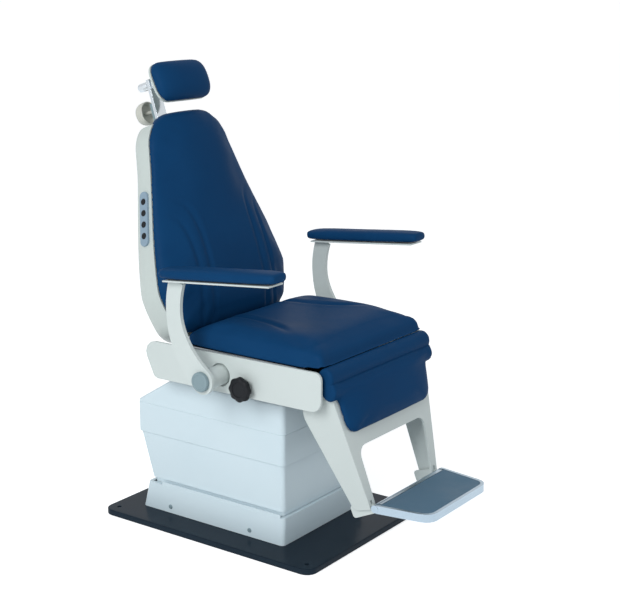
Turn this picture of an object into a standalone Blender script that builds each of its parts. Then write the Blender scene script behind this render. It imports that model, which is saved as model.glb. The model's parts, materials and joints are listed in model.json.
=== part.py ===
"""Examination chair for ear, nose and throat work, built piece by piece.

Metres, +Z up. The origin is on the floor, on the swivel axis. The chair faces -Y,
and the patient's right hand is at -X.
"""
from math import atan2, cos, pi, radians, sin, sqrt

import bmesh
import bpy
from mathutils import Matrix, Vector

# Clearances
FIT = 0.0003
RUN = 0.0003
SLIDE = 0.001

# Base plate
PLATE_WIDTH = 0.542
PLATE_LENGTH = 0.720
PLATE_THICK = 0.017
PLATE_CORNER = 0.030
BOLT_INSET = 0.032
BOLT_HOLE = 0.012

# Covers: box of three tiers, its sleeve, and the skirt below it
BOX_WIDTH = 0.363
BOX_FRONT = -0.211
BOX_REAR = 0.299
BOX_CORNER = 0.012
COVER_WALL = 0.003
LOWER_BOTTOM = 0.1056
LOWER_REAR_TUCK = 0.040
MIDDLE_BOTTOM = 0.235
TOP_BOTTOM = 0.321
ROOF_TOP = 0.407
ROOF_LEVEL_END = 0.170
ROOF_LIP = 0.006
LOWER_HIDDEN = 0.078
SLEEVE_TOP = 0.300
SLEEVE_GAP = COVER_WALL + RUN
SKIRT_OVERHANG = 0.0085
SKIRT_TOP = 0.094
SKIRT_REAR_TOP = 0.262
SKIRT_TOE_OUT = 0.019
SKIRT_LEDGE = 0.010
SKIRT_RIM_HEIGHT = 0.008
RIM_INSET = 0.0006
SKIRT_NOTCH = 0.052
SKIRT_SCREW_RADIUS = 0.0065
SKIRT_SCREW_HEAD = 0.003
SKIRT_SCREW_Z = 0.036
SKIRT_SCREW_YS = (-0.102, 0.178)
INLET_WIDTH = 0.048
INLET_HEIGHT = 0.030

# Lift
LIFT_TRAVEL = 0.140
COLUMN_Y = -0.030
COLUMN_SIZE = 0.090
COLUMN_WALL = 0.006
COLUMN_OUTER_TOP = 0.300
COLUMN_INNER_BOTTOM = 0.085
COLUMN_FLANGE = 0.150
COLUMN_FLANGE_THICK = 0.012
ACTUATOR_Y = 0.120
LIFT_TUBE_RADIUS = 0.026
LIFT_ROD_RADIUS = 0.014
LIFT_TUBE_TOP = 0.215
PLATFORM_WIDTH = BOX_WIDTH - 2.0 * (COVER_WALL + FIT)
PLATFORM_LENGTH = 0.360
PLATFORM_THICK = 0.010
PLATFORM_TOP = 0.385

# Swivel
SPINDLE_RADIUS = 0.025
SPINDLE_TOP = 0.474
RING_INNER = 0.055
RING_OUTER = 0.085
RING_SPLIT = 0.4115
ROOF_HOLE_GAP = 0.005

# Seat frame
SIDE_OUTER = 0.250
SIDE_THICK = 0.008
SIDE_TOP = 0.535
SIDE_BOTTOM = 0.432
SIDE_FRONT = -0.378
SIDE_REAR = 0.216
SIDE_REAR_RAKE = 0.047
CROSS_THICK = 0.006
CROSS_FRONT = -0.262
CROSS_REAR = 0.066
PAN_THICK = 0.008
PAN_FRONT = -0.298
PAN_REAR = 0.050
SHAFT_RADIUS = 0.010
TUBE_WALL = 0.006
CLAMP_WALL = 0.020
CLAMP_HEIGHT = 0.024
CLAMP_SLIT = 0.008
CLAMP_EAR = 0.012
KNOB_Y = -0.141
KNOB_Z = 0.4565
KNOB_RADIUS = 0.030
KNOB_THICK = 0.026
KNOB_LOBES = 8
LOCK_SCREW_RADIUS = 0.006

# Backrest, in its own frame: up the back is +Z, rearwards is +Y
BACK_PIVOT_Y = 0.120
BACK_PIVOT_Z = 0.500
BACK_LEAN = 17.5
BACK_FACE = -0.0334
BACK_BOTTOM = 0.045
BACK_TOP = 0.630
BACK_WIDEST_AT = 0.165
BACK_HALF_BOTTOM = 0.215
BACK_HALF_WIDEST = 0.262
BACK_HALF_TOP = 0.142
BACK_CORNER = 0.085
SHELL_WALL = 0.005
SLOT_GAP = 0.004
SHELL_DEPTH_TOP = 0.090
SHELL_DEPTH_LOW = 0.136
SHELL_BOTTOM = 0.020
SHELL_TOP = 0.606
SHELL_POWER = 3.6
FRAME_SLOT_DEEP = 0.030
FRAME_SLOT_UP = 0.020
BACK_CROWN = 0.068
BACK_EDGE = 0.0075
BACK_LUMBAR = 0.010
BACK_WRAP_DEPTH = 0.018
BACK_WRAP_ROOT = 0.004
BACK_WRAP_SHARE = 0.985
BACK_WRAP_DROP = 0.002
FRAME_SLOT_HALF = 0.094
BACK_FRAME_HALF = 0.085
BACK_BAR_WIDTH = 0.028
BACK_FRAME_THICK = 0.010
BACK_BRIDGE_TOP = 0.070
BACK_BRIDGE_LOW = 0.100
BACK_BRIDGE_WIDTH = 0.030
STANDOFF_HALF = 0.035
STANDOFF_HEIGHT = 0.024
STANDOFF_DOWN = 0.055
CHANNEL_RADIUS = 0.009
CHANNEL_LOW = 0.090
CHANNEL_TOE = 0.015
BACK_CHANNELS = ((0.100, 0.085, 0.405), (0.141, 0.064, 0.365))

# Cranks and link that raise the legrest as the back reclines
CRANK_RADIUS = 0.045
CRANK_BACK_ANGLE = 27.5
CRANK_PIN = 0.006
CRANK_PLATE = 0.008
CRANK_X = 0.135
LINK_X = 0.155
LINK_THICK = 0.008
LINK_EYE = 0.0085
ACTUATOR_X = 0.105
ACTUATOR_Z = 0.4565
ACTUATOR_RADIUS = 0.0155
ACTUATOR_FRONT = -0.255
ACTUATOR_NECK = -0.040
ACTUATOR_ROD = 0.008
YOKE_LENGTH = 0.044
YOKE_HEIGHT = 0.042
YOKE_THICK = 0.020
YOKE_SIDE_PLAY = 0.0014
YOKE_RISE_PLAY = 0.0065

# Legrest, in its own frame: up the panel is +Z, rearwards is +Y
LEG_PIVOT_Y = -0.347
LEG_PIVOT_Z = 0.492
LEG_LEAN = 15.5
LEG_FACE = -0.0347
LEG_WALL = 0.007
LEG_HALF_TOP = 0.226
LEG_HALF_BOTTOM = 0.163
LEG_BOTTOM = -0.340
LEG_DEPTH_TOP = 0.108
LEG_DEPTH_BOTTOM = 0.052
LEG_BRIDGE = -0.178
LEG_ARM_TOP = 0.037
LEG_ARM_BOTTOM = 0.027
WINDOW_CORNER = 0.026
LEG_PANEL_TOP = 0.018
LEG_HEEL_ROUND = 0.016
LEG_HIP_UP = -0.075
LEG_HIP_ROUND = 0.060
LEG_NAPE_BACK = 0.034
LEG_NAPE_UP = 0.024
LEG_CUSHION_TOP = 0.031
LEG_ROLL_REACH = 0.0660
LEG_ROLL_HALF = 0.222
LEG_CUSHION_BOTTOM = -0.138
LEG_CUSHION_HALF_TOP = 0.216
LEG_CUSHION_HALF_BOTTOM = 0.190
LEG_CUSHION_CROWN = 0.029
LEG_CUSHION_EDGE = 0.006
LEG_CREASE_AT = 0.010
LEG_CREASE_HALF = 0.010
LEG_CREASE_SHARE = 0.14

# Footplate
FOOT_TOP = 0.190
FOOT_THICK = 0.021
FOOT_DEPTH = 0.152
FOOT_HALF_REAR = 0.166
FOOT_HALF_FRONT = 0.143
FOOT_CORNER = 0.034
FOOT_RIM = 0.009
BARREL_SHARE = 0.97
MAT_THICK = 0.004
FOOT_HINGE_AHEAD = 0.0135
FOOT_PIN_RADIUS = 0.004
BRACKET_THICK = 0.005
BRACKET_EYE = 0.010
BRACKET_NOTCH = 0.0015
BRACKET_IN = LEG_HALF_BOTTOM - LEG_WALL - BRACKET_THICK - FIT

# Armrests
ARM_X = 0.319
ARM_PIVOT_Y = -0.060
ARM_PIVOT_Z = 0.477
BOSS_RADIUS = 0.0265
BOSS_HOLE = 0.031
BEARING_LENGTH = 0.036
BEARING_WALL = 0.009
POST_THICK = 0.011
POST_HALF_WIDTH = 0.0235
POST_FOOT = 0.035
CAP_RADIUS = 0.026
CAP_THICK = 0.012
PIN_RADIUS = 0.009
PIN_LENGTH = 0.028
PAD_LENGTH = 0.378
PAD_WIDTH = 0.076
PAD_THICK = 0.031
PAD_CENTRE_Y = -0.124
PAD_CENTRE_Z = 0.761
PAD_TILT = 5.0
PAD_PLATE_THICK = 0.004
PAD_PLATE_WIDTH = 0.058
PAD_PLATE_LENGTH = 0.340

# Headrest, on the back's frame
BAR_Y = 0.038
BAR_WIDTH = 0.040
BAR_THICK = 0.010
BAR_BOTTOM = 0.420
BAR_TOP = 0.741
BAR_TRAVEL = 0.100
GUIDE_WALL = 0.008
GUIDE_HEIGHT = 0.045
GUIDE_TOP = 0.570
GUIDE_TONGUE_HALF = 0.015
GUIDE_TONGUE_THICK = 0.012
GUIDE_TONGUE_TOP = 0.675
HAND_KNOB_RADIUS = 0.033
HAND_KNOB_THICK = 0.034
HAND_KNOB_UP = 0.655
HAND_KNOB_GAP = 0.020
KNOB_STEM_RADIUS = 0.005
TILT_UP = 0.727
TILT_BACK = 0.026
HEAD_UP = 0.709
HINGE_PIN_RADIUS = 0.005
HEAD_FACE = -0.058
HEAD_FOOT_THICK = 0.006
HEAD_PIN_REACH = 0.024
CHEEK_IN = 0.0115
CHEEK_OUT = 0.020
CHEEK_HALF = 0.012
CHEEK_REAR = 0.010
CHEEK_ROUND = 0.006
CHEEK_ROOT = 0.004
FOOT_BELOW = 0.034
FOOT_ABOVE = 0.020
HEAD_HALF_WIDTH = 0.106
HEAD_HALF_HEIGHT = 0.056
HEAD_CROWN = 0.048
HEAD_EDGE = 0.010
HEAD_SHELL_EDGE = 0.002
HEAD_TILT = 7.0
HEAD_SHELL = 0.012
TILT_KNOB_RADIUS = 0.012
TILT_KNOB_LENGTH = 0.045
TILT_SCREW_RADIUS = 0.004

# Control strip on the back shell
STRIP_LENGTH = 0.148
STRIP_WIDTH = 0.030
STRIP_THICK = 0.005
STRIP_UP = 0.363
STRIP_ROUND = 0.085
STRIP_ROOT = 0.006
KEY_RADIUS = 0.0085
KEY_PITCH = 0.0310
KEY_TRAVEL = 0.0008
KEY_PROUD = 0.0012
KEY_POCKET = 0.0035
KEY_NAMES = ("lift_up", "lift_down", "back_up", "back_down")

# Seat cushion
SEAT_FRONT = -0.374
SEAT_REAR = 0.062
SEAT_HALF = 0.236
SEAT_RISE = 0.068
SEAT_NOSE = 0.030
SEAT_NOSE_START = -0.335
SEAT_EDGE = 0.006
SEAT_BOLSTER = 0.008
SEAT_DRAW_IN = 0.004
SEAT_CHANNEL_REAR = 0.020
SEAT_CHANNEL_SHORT = 0.130

ROUND_STEPS = 24
CORNER_STEPS = 4
SIDES = {"left": 1.0, "right": -1.0}

for leftover in list(bpy.data.objects):
    bpy.data.objects.remove(leftover)


def finish(name, colour, metallic, roughness):
    """A plain material with one colour."""
    made = bpy.data.materials.new(name)
    made.use_nodes = True
    shader = made.node_tree.nodes["Principled BSDF"]
    shader.inputs["Base Color"].default_value = (*colour, 1.0)
    shader.inputs["Metallic"].default_value = metallic
    shader.inputs["Roughness"].default_value = roughness
    return made


NAVY_VINYL = finish("navy_vinyl", (0.010, 0.045, 0.135), 0.0, 0.35)
FRAME_WHITE = finish("frame_white", (0.74, 0.78, 0.76), 0.0, 0.35)
COVER_WHITE = finish("cover_white", (0.66, 0.75, 0.80), 0.0, 0.30)
SLATE_STEEL = finish("slate_steel", (0.022, 0.038, 0.055), 0.3, 0.25)
PLAIN_STEEL = finish("plain_steel", (0.35, 0.36, 0.37), 1.0, 0.40)
BRIGHT_CHROME = finish("bright_chrome", (0.75, 0.77, 0.80), 1.0, 0.12)
ALUMINIUM = finish("aluminium", (0.55, 0.60, 0.65), 1.0, 0.35)
GREY_RUBBER = finish("grey_rubber", (0.085, 0.165, 0.245), 0.0, 0.75)
BLACK_PLASTIC = finish("black_plastic", (0.015, 0.018, 0.022), 0.0, 0.45)
IVORY_PLASTIC = finish("ivory_plastic", (0.70, 0.69, 0.62), 0.0, 0.40)
GREY_PLASTIC = finish("grey_plastic", (0.20, 0.29, 0.32), 0.0, 0.45)
STRIP_PLASTIC = finish("strip_plastic", (0.28, 0.40, 0.52), 0.0, 0.40)


def frame_at(name, location, lean=0.0, parent=None):
    """An empty that carries one moving group; lean tips its top backwards, in degrees."""
    empty = bpy.data.objects.new(name, None)
    bpy.context.scene.collection.objects.link(empty)
    empty.location = location
    empty.rotation_euler = (-radians(lean), 0.0, 0.0)
    empty.parent = parent
    return empty


def solid(name, mesh_data, material, parent=None, smooth=True, is_cutter=False):
    """Turn a bmesh into an object, with its faces pointing out."""
    bmesh.ops.recalc_face_normals(mesh_data, faces=mesh_data.faces)
    mesh = bpy.data.meshes.new(name)
    mesh_data.to_mesh(mesh)
    mesh_data.free()
    if smooth:
        mesh.shade_smooth()
        mesh.set_sharp_from_angle(angle=radians(35))
    made = bpy.data.objects.new(name, mesh)
    bpy.context.scene.collection.objects.link(made)
    made.parent = parent
    if is_cutter:
        made.hide_render = True
        made.display_type = "WIRE"
    else:
        mesh.materials.append(material)
    return made


def combine(target, tool_mesh, operation, name):
    """Add a Boolean of the given kind, made by a hidden tool beside the target."""
    tool = solid(target.name + "_" + name, tool_mesh, None, target.parent, is_cutter=True)
    tool.matrix_parent_inverse = target.matrix_parent_inverse
    modifier = target.modifiers.new(name, "BOOLEAN")
    modifier.operation = operation
    modifier.object = tool
    modifier.solver = "EXACT"


def cut(target, tool_mesh, name):
    combine(target, tool_mesh, "DIFFERENCE", name)


def join(target, tool_mesh, name):
    combine(target, tool_mesh, "UNION", name)


def rounded(corners):
    """Outline through (u, v, radius) corners, with an arc at each corner that has a radius."""
    points = []
    count = len(corners)
    for index, (u, v, radius) in enumerate(corners):
        here = Vector((u, v))
        before = Vector(corners[index - 1][:2]) - here
        after = Vector(corners[(index + 1) % count][:2]) - here
        if radius <= 0.0:
            points.append(here)
            continue
        half = before.angle(after) / 2.0
        reach = radius / abs(sin(half) / cos(half))
        centre = here + (before.normalized() + after.normalized()).normalized() * radius / sin(half)
        start = here + before.normalized() * reach - centre
        end = here + after.normalized() * reach - centre
        for step in range(CORNER_STEPS + 1):
            swing = start.normalized().slerp(end.normalized(), step / CORNER_STEPS)
            points.append(centre + swing * radius)
    return points


def rectangle(u_low, u_high, v_low, v_high, radius=0.0):
    return rounded([(u_low, v_low, radius), (u_high, v_low, radius),
                    (u_high, v_high, radius), (u_low, v_high, radius)])


AXIS_MAPS = {"X": lambda u, v, w: (w, u, v), "Y": lambda u, v, w: (u, w, v), "Z": lambda u, v, w: (u, v, w)}


def prism(points, axis, low, high):
    """Extrude an outline along X (outline is y, z), Y (x, z) or Z (x, y)."""
    place = AXIS_MAPS[axis]
    data = bmesh.new()
    base = data.faces.new([data.verts.new(place(p[0], p[1], low)) for p in points])
    grown = bmesh.ops.extrude_face_region(data, geom=[base])
    moved = [item for item in grown["geom"] if isinstance(item, bmesh.types.BMVert)]
    bmesh.ops.translate(data, verts=moved, vec=place(0.0, 0.0, high - low))
    return data


def block(x_low, x_high, y_low, y_high, z_low, z_high):
    return prism(rectangle(x_low, x_high, y_low, y_high), "Z", z_low, z_high)


def circle(radius, centre=(0.0, 0.0), steps=ROUND_STEPS):
    turns = [2.0 * pi * step / steps for step in range(steps)]
    return [Vector((centre[0] + radius * cos(a), centre[1] + radius * sin(a))) for a in turns]


def capsule(first, second, first_radius, second_radius):
    """Outline around two points, with a half circle at each end."""
    angle = atan2(second[1] - first[1], second[0] - first[0])
    outline = []
    for step in range(9):
        a = angle + pi / 2.0 + pi * step / 8.0
        outline.append((first[0] + first_radius * cos(a), first[1] + first_radius * sin(a)))
    for step in range(9):
        a = angle - pi / 2.0 + pi * step / 8.0
        outline.append((second[0] + second_radius * cos(a), second[1] + second_radius * sin(a)))
    return outline


def rod(axis, centre, radius, low, high, steps=ROUND_STEPS):
    """Round bar along an axis; centre is in the outline's own two coordinates."""
    return prism(circle(radius, centre, steps), axis, low, high)


def stacked(rings, close=True):
    """Skin a list of rings of equal length into a closed solid."""
    data = bmesh.new()
    loops = [[data.verts.new(p) for p in ring] for ring in rings]
    count = len(loops[0])
    for lower, upper in zip(loops, loops[1:]):
        for index in range(count):
            following = (index + 1) % count
            data.faces.new((lower[index], lower[following], upper[following], upper[index]))
    if close:
        data.faces.new(list(reversed(loops[0])))
        data.faces.new(loops[-1])
    else:
        for index in range(count):
            following = (index + 1) % count
            data.faces.new((loops[-1][index], loops[-1][following], loops[0][following], loops[0][index]))
    return data


def ring_at(outline, height):
    return [(p[0], p[1], height) for p in outline]


def sleeve(levels, wall):
    """Tube with a rectangular plan; levels are (z, half width, front, rear) from bottom to top."""
    def plan(level, inset):
        height, half, front, rear = level
        return ring_at(rectangle(-half + inset, half - inset, front + inset, rear - inset,
                                 BOX_CORNER - inset), height)
    outer = [plan(level, 0.0) for level in levels]
    inner = [plan(level, wall) for level in reversed(levels)]
    return stacked(outer + inner, close=False)


def turned(profile, axis, centre, steps=ROUND_STEPS):
    """Solid of revolution from (radius, along) pairs, with a flat disc at each end."""
    place = AXIS_MAPS[axis]
    rings = []
    for radius, along in profile:
        rings.append([place(p[0], p[1], along) for p in circle(radius, centre, steps)])
    return stacked(rings)


# Base
def make_base():
    half_w = PLATE_WIDTH / 2.0
    half_l = PLATE_LENGTH / 2.0
    plate = solid("base_plate", prism(rectangle(-half_w, half_w, -half_l, half_l, PLATE_CORNER), "Z",
                                      0.0, PLATE_THICK), SLATE_STEEL)
    bevel = plate.modifiers.new("edge", "BEVEL")
    bevel.width = 0.0015
    bevel.segments = 1
    for sx in SIDES.values():
        for sy in SIDES.values():
            hole = rod("Z", (sx * (half_w - BOLT_INSET), sy * (half_l - BOLT_INSET)), BOLT_HOLE / 2.0,
                       -PLATE_THICK, 2.0 * PLATE_THICK, 12)
            cut(plate, hole, "bolt_%d_%d" % (sx, sy))


def make_skirt():
    half = BOX_WIDTH / 2.0 + SKIRT_OVERHANG
    front = BOX_FRONT - SKIRT_OVERHANG / 2.0
    bottom = PLATE_THICK + FIT
    foot = (bottom, half, front, SKIRT_REAR_TOP + SKIRT_TOE_OUT)
    shoulder = (SKIRT_TOP, half - 0.002, front, SKIRT_REAR_TOP)
    wall = 0.004

    def plan(level, inset, drop=0.0):
        height, h, f, r = level
        return ring_at(rectangle(-h + inset, h - inset, f + inset, r - inset, BOX_CORNER - inset / 2.0),
                       height - drop)
    rings = [plan(foot, 0.0), plan(shoulder, 0.0), plan(shoulder, SKIRT_LEDGE),
             plan(shoulder, SKIRT_LEDGE, wall), plan(shoulder, wall, wall), plan(foot, wall)]
    skirt = solid("base_skirt", stacked(rings, close=False), COVER_WHITE)
    for label, side in SIDES.items():
        outer = shoulder[1]
        x_pair = sorted((side * (outer - RIM_INSET), side * (outer - wall)))
        rim = block(x_pair[0], x_pair[1], front + BOX_CORNER, SKIRT_REAR_TOP - SKIRT_NOTCH,
                    SKIRT_TOP - wall / 2.0, SKIRT_TOP + SKIRT_RIM_HEIGHT)
        join(skirt, rim, "rim_" + label)
        for index, y in enumerate(SKIRT_SCREW_YS):
            place = "front" if index == 0 else "rear"
            lean = (half - shoulder[1]) * (SKIRT_SCREW_Z - bottom) / (SKIRT_TOP - bottom)
            seat = half - lean + FIT
            head = [(SKIRT_SCREW_RADIUS * 0.75, side * (seat + SKIRT_SCREW_HEAD)),
                    (SKIRT_SCREW_RADIUS, side * (seat + SKIRT_SCREW_HEAD / 3.0)), (SKIRT_SCREW_RADIUS, side * seat)]
            solid("skirt_screw_%s_%s" % (label, place), turned(head, "X", (y, SKIRT_SCREW_Z), 12), GREY_PLASTIC)
    inlet_z = (bottom + SKIRT_TOP) / 2.0
    rake = SKIRT_TOE_OUT / (SKIRT_TOP - bottom)
    face = SKIRT_REAR_TOP + (SKIRT_TOP - inlet_z) * rake
    half_h = INLET_HEIGHT / 2.0
    half_w = INLET_WIDTH / 2.0
    rings = []
    for back_off, shrink in ((FIT, 0.0), (0.006, 0.0), (0.006, 0.006), (0.002, 0.007)):
        ring = []
        for u, v in ((-half_w + shrink, -half_h + shrink), (half_w - shrink, -half_h + shrink),
                     (half_w - shrink, half_h - shrink), (-half_w + shrink, half_h - shrink)):
            ring.append((u, face - v * rake + back_off, inlet_z + v))
        rings.append(ring)
    solid("power_inlet", stacked(rings), BLACK_PLASTIC, smooth=False)


def make_lift():
    lift = frame_at("lift_frame", (0.0, 0.0, 0.0))
    lower = frame_at("lower_cover_frame", (0.0, 0.0, 0.0))
    half = BOX_WIDTH / 2.0
    step = COVER_WALL + SLIDE
    inner_half = half - step
    tuck = BOX_REAR - step - LOWER_REAR_TUCK
    lower_levels = [(LOWER_BOTTOM, inner_half, BOX_FRONT + step, tuck),
                    (MIDDLE_BOTTOM, inner_half, BOX_FRONT + step, BOX_REAR - step),
                    (MIDDLE_BOTTOM + LOWER_HIDDEN, inner_half, BOX_FRONT + step, BOX_REAR - step)]
    solid("lower_cover", sleeve(lower_levels, COVER_WALL), COVER_WHITE, lower)
    middle_levels = [(MIDDLE_BOTTOM, half, BOX_FRONT, BOX_REAR), (TOP_BOTTOM - FIT, half, BOX_FRONT, BOX_REAR)]
    solid("middle_cover", sleeve(middle_levels, COVER_WALL), COVER_WHITE, lift)
    inset = step + SLEEVE_GAP
    sleeve_levels = [(PLATE_THICK + FIT, half - inset, BOX_FRONT + inset, tuck - inset),
                     (SLEEVE_TOP, half - inset, BOX_FRONT + inset, tuck - inset)]
    solid("inner_sleeve", sleeve(sleeve_levels, COVER_WALL), COVER_WHITE)

    def roof_side(inset):
        drop = inset if inset else 0.0
        return [(BOX_FRONT + inset, TOP_BOTTOM - 2.0 * drop), (BOX_FRONT + inset, ROOF_TOP - drop),
                (ROOF_LEVEL_END - drop / 2.0, ROOF_TOP - drop),
                (BOX_REAR - inset, TOP_BOTTOM + ROOF_LIP - drop / 2.0),
                (BOX_REAR - inset, TOP_BOTTOM - 2.0 * drop)]
    top = solid("top_cover", prism(roof_side(0.0), "X", -half, half), COVER_WHITE, lift)
    cut(top, prism(roof_side(COVER_WALL), "X", -half + COVER_WALL, half - COVER_WALL), "hollow")
    cut(top, rod("Z", (0.0, 0.0), RING_OUTER + ROOF_HOLE_GAP, ROOF_TOP - 0.02, ROOF_TOP + 0.02), "bearing_hole")

    size = COLUMN_SIZE / 2.0
    bottom = PLATE_THICK + FIT

    def square(half_size):
        return rectangle(-half_size, half_size, COLUMN_Y - half_size, COLUMN_Y + half_size, 0.0)
    outer = solid("guide_column_outer", prism(square(size), "Z", bottom, COLUMN_OUTER_TOP), PLAIN_STEEL)
    join(outer, prism(square(COLUMN_FLANGE / 2.0), "Z", bottom, bottom + COLUMN_FLANGE_THICK), "flange")
    cut(outer, prism(square(size - COLUMN_WALL), "Z", bottom - 0.01, COLUMN_OUTER_TOP + 0.01), "bore")
    inner_size = size - COLUMN_WALL - RUN
    platform_bottom = PLATFORM_TOP - PLATFORM_THICK
    inner = solid("guide_column_inner", prism(square(inner_size), "Z", COLUMN_INNER_BOTTOM,
                                              platform_bottom - FIT), PLAIN_STEEL, lift)
    cut(inner, prism(square(inner_size - COLUMN_WALL), "Z", COLUMN_INNER_BOTTOM - 0.01, platform_bottom + 0.01),
        "bore")
    body = solid("lift_actuator_body", rod("Z", (0.0, ACTUATOR_Y), LIFT_TUBE_RADIUS, bottom, LIFT_TUBE_TOP),
                 BLACK_PLASTIC)
    motor = block(LIFT_TUBE_RADIUS * 0.4, LIFT_TUBE_RADIUS * 3.6, ACTUATOR_Y - LIFT_TUBE_RADIUS,
                  ACTUATOR_Y + LIFT_TUBE_RADIUS, bottom, bottom + 0.075)
    join(body, motor, "motor")
    cut(body, rod("Z", (0.0, ACTUATOR_Y), LIFT_ROD_RADIUS + RUN, bottom + 0.020, LIFT_TUBE_TOP + 0.01), "bore")
    solid("lift_actuator_rod", rod("Z", (0.0, ACTUATOR_Y), LIFT_ROD_RADIUS, bottom + 0.022,
                                   platform_bottom - FIT), BRIGHT_CHROME, lift)
    half_w = PLATFORM_WIDTH / 2.0
    half_l = PLATFORM_LENGTH / 2.0
    platform = solid("swivel_platform", block(-half_w, half_w, -half_l + 0.02, half_l - 0.02, platform_bottom,
                                              PLATFORM_TOP), PLAIN_STEEL, lift)
    join(platform, rod("Z", (0.0, 0.0), SPINDLE_RADIUS, PLATFORM_TOP - 0.002, SPINDLE_TOP), "spindle")

    def race(name, low, high, parent):
        profile = [circle(RING_OUTER), circle(RING_OUTER), circle(RING_INNER), circle(RING_INNER)]
        heights = (low, high, high, low)
        rings = [ring_at(p, z) for p, z in zip(profile, heights)]
        solid(name, stacked(rings, close=False), SLATE_STEEL, parent)
    race("swivel_lower_ring", PLATFORM_TOP + FIT, RING_SPLIT, lift)
    race("swivel_upper_ring", RING_SPLIT + FIT, SIDE_BOTTOM - FIT, None)


# Seat
def make_seat_frame():
    inner = SIDE_OUTER - SIDE_THICK
    outline = rounded([(SIDE_FRONT, SIDE_BOTTOM, 0.030), (SIDE_REAR - SIDE_REAR_RAKE, SIDE_BOTTOM - 0.004, 0.020),
                       (SIDE_REAR, SIDE_TOP - 0.006, 0.032), (SIDE_FRONT, SIDE_TOP, 0.020)])
    for label, side in SIDES.items():
        low, high = sorted((side * inner, side * SIDE_OUTER))
        plate = solid("seat_side_plate_" + label, prism(outline, "X", low, high), FRAME_WHITE)
        pivot = (ARM_PIVOT_Y, ARM_PIVOT_Z)
        low, high = sorted((side * (inner + FIT), side * (inner - BEARING_LENGTH)))
        join(plate, rod("X", pivot, BOSS_RADIUS + BEARING_WALL, low, high), "bearing")
        low, high = sorted((side * (inner + FIT), side * (SIDE_OUTER + 0.01)))
        cut(plate, rod("X", pivot, BOSS_HOLE, low, high), "arm_hole")
        low, high = sorted((side * (inner - BEARING_LENGTH - 0.01), side * (SIDE_OUTER + 0.02)))
        cut(plate, rod("X", pivot, BOSS_RADIUS + RUN, low, high), "bearing_bore")
        if side < 0.0:
            cut(plate, rod("X", (KNOB_Y, KNOB_Z), LOCK_SCREW_RADIUS + 0.001, -SIDE_OUTER - 0.01, -inner + 0.01),
                "lock_hole")
    reach = inner - FIT
    cross = solid("seat_cross_frame", block(-reach, reach, CROSS_FRONT, CROSS_REAR, SIDE_BOTTOM,
                                            SIDE_BOTTOM + CROSS_THICK), SLATE_STEEL)
    cut(cross, rod("Z", (0.0, 0.0), SPINDLE_RADIUS + RUN, SIDE_BOTTOM - 0.01, SIDE_BOTTOM + 0.02), "spindle_hole")
    solid("seat_pan", block(-reach, reach, PAN_FRONT, PAN_REAR, SIDE_TOP - PAN_THICK, SIDE_TOP), PLAIN_STEEL)
    solid("back_pivot_shaft", rod("X", (BACK_PIVOT_Y, BACK_PIVOT_Z), SHAFT_RADIUS, -reach, reach), PLAIN_STEEL)
    solid("legrest_pivot_shaft", rod("X", (LEG_PIVOT_Y, LEG_PIVOT_Z), SHAFT_RADIUS, -reach, reach), PLAIN_STEEL)


def make_brake():
    low = SIDE_BOTTOM + CROSS_THICK + FIT
    high = low + CLAMP_HEIGHT
    clamp = solid("brake_clamp", rod("Z", (0.0, 0.0), SPINDLE_RADIUS + CLAMP_WALL, low, high), PLAIN_STEEL)
    ear_half = CLAMP_SLIT / 2.0 + CLAMP_EAR
    ear_end = KNOB_Y - 2.5 * LOCK_SCREW_RADIUS
    join(clamp, block(-ear_half, ear_half, ear_end, -SPINDLE_RADIUS, low, high), "ears")
    cut(clamp, rod("Z", (0.0, 0.0), SPINDLE_RADIUS + RUN, low - 0.01, high + 0.01), "bore")
    cut(clamp, block(-CLAMP_SLIT / 2.0, CLAMP_SLIT / 2.0, ear_end - 0.01, 0.0, low - 0.01, high + 0.01), "slit")
    cut(clamp, rod("X", (KNOB_Y, KNOB_Z), LOCK_SCREW_RADIUS + RUN, -ear_half - 0.01, ear_half + 0.01), "screw_hole")
    knob_frame = frame_at("lock_knob_frame", (0.0, KNOB_Y, KNOB_Z))
    outline = []
    steps = KNOB_LOBES * 6
    for step in range(steps):
        angle = 2.0 * pi * step / steps
        radius = KNOB_RADIUS * (0.955 + 0.045 * cos(KNOB_LOBES * angle))
        outline.append((radius * cos(angle), radius * sin(angle)))
    back = -SIDE_OUTER - 0.004
    rings = []
    for share, along in ((0.55, 0.0), (0.88, 0.006), (1.0, 0.010), (1.0, KNOB_THICK - 0.005),
                         (0.90, KNOB_THICK - 0.001), (0.60, KNOB_THICK)):
        rings.append([(back - along, u * share, v * share) for u, v in outline])
    knob = solid("lock_knob", stacked(rings), BLACK_PLASTIC, knob_frame)
    join(knob, rod("X", (0.0, 0.0), LOCK_SCREW_RADIUS, back - 0.004, ear_half + 0.012), "screw")


def dome_grid(half_width, low, high, face, height, columns, rows, toward):
    """Padded solid on a flat back: a grid across (x) and along (z), pushed out from the face.

    half_width(t) is the half width at share t of the length, and height(u, t) is the thickness
    at share u across, from -1 to 1. toward is -1 when the pad grows towards -Y.
    """
    data = bmesh.new()
    front = []
    for row in range(rows + 1):
        t = 0.5 - 0.5 * cos(pi * row / rows)
        z = low + (high - low) * t
        line = []
        for column in range(columns + 1):
            u = -cos(pi * column / columns)
            line.append(data.verts.new((u * half_width(t), face + toward * height(u, t), z)))
        front.append(line)
    for lower, upper in zip(front, front[1:]):
        for index in range(columns):
            data.faces.new((lower[index], lower[index + 1], upper[index + 1], upper[index]))
    border = front[0] + [line[-1] for line in front[1:-1]] + list(reversed(front[-1]))
    border += [line[0] for line in reversed(front[1:-1])]
    rim = [data.verts.new((v.co.x, face, v.co.z)) for v in border]
    count = len(border)
    for index in range(count):
        following = (index + 1) % count
        data.faces.new((border[index], border[following], rim[following], rim[index]))
    data.faces.new(rim)
    return data


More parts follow.
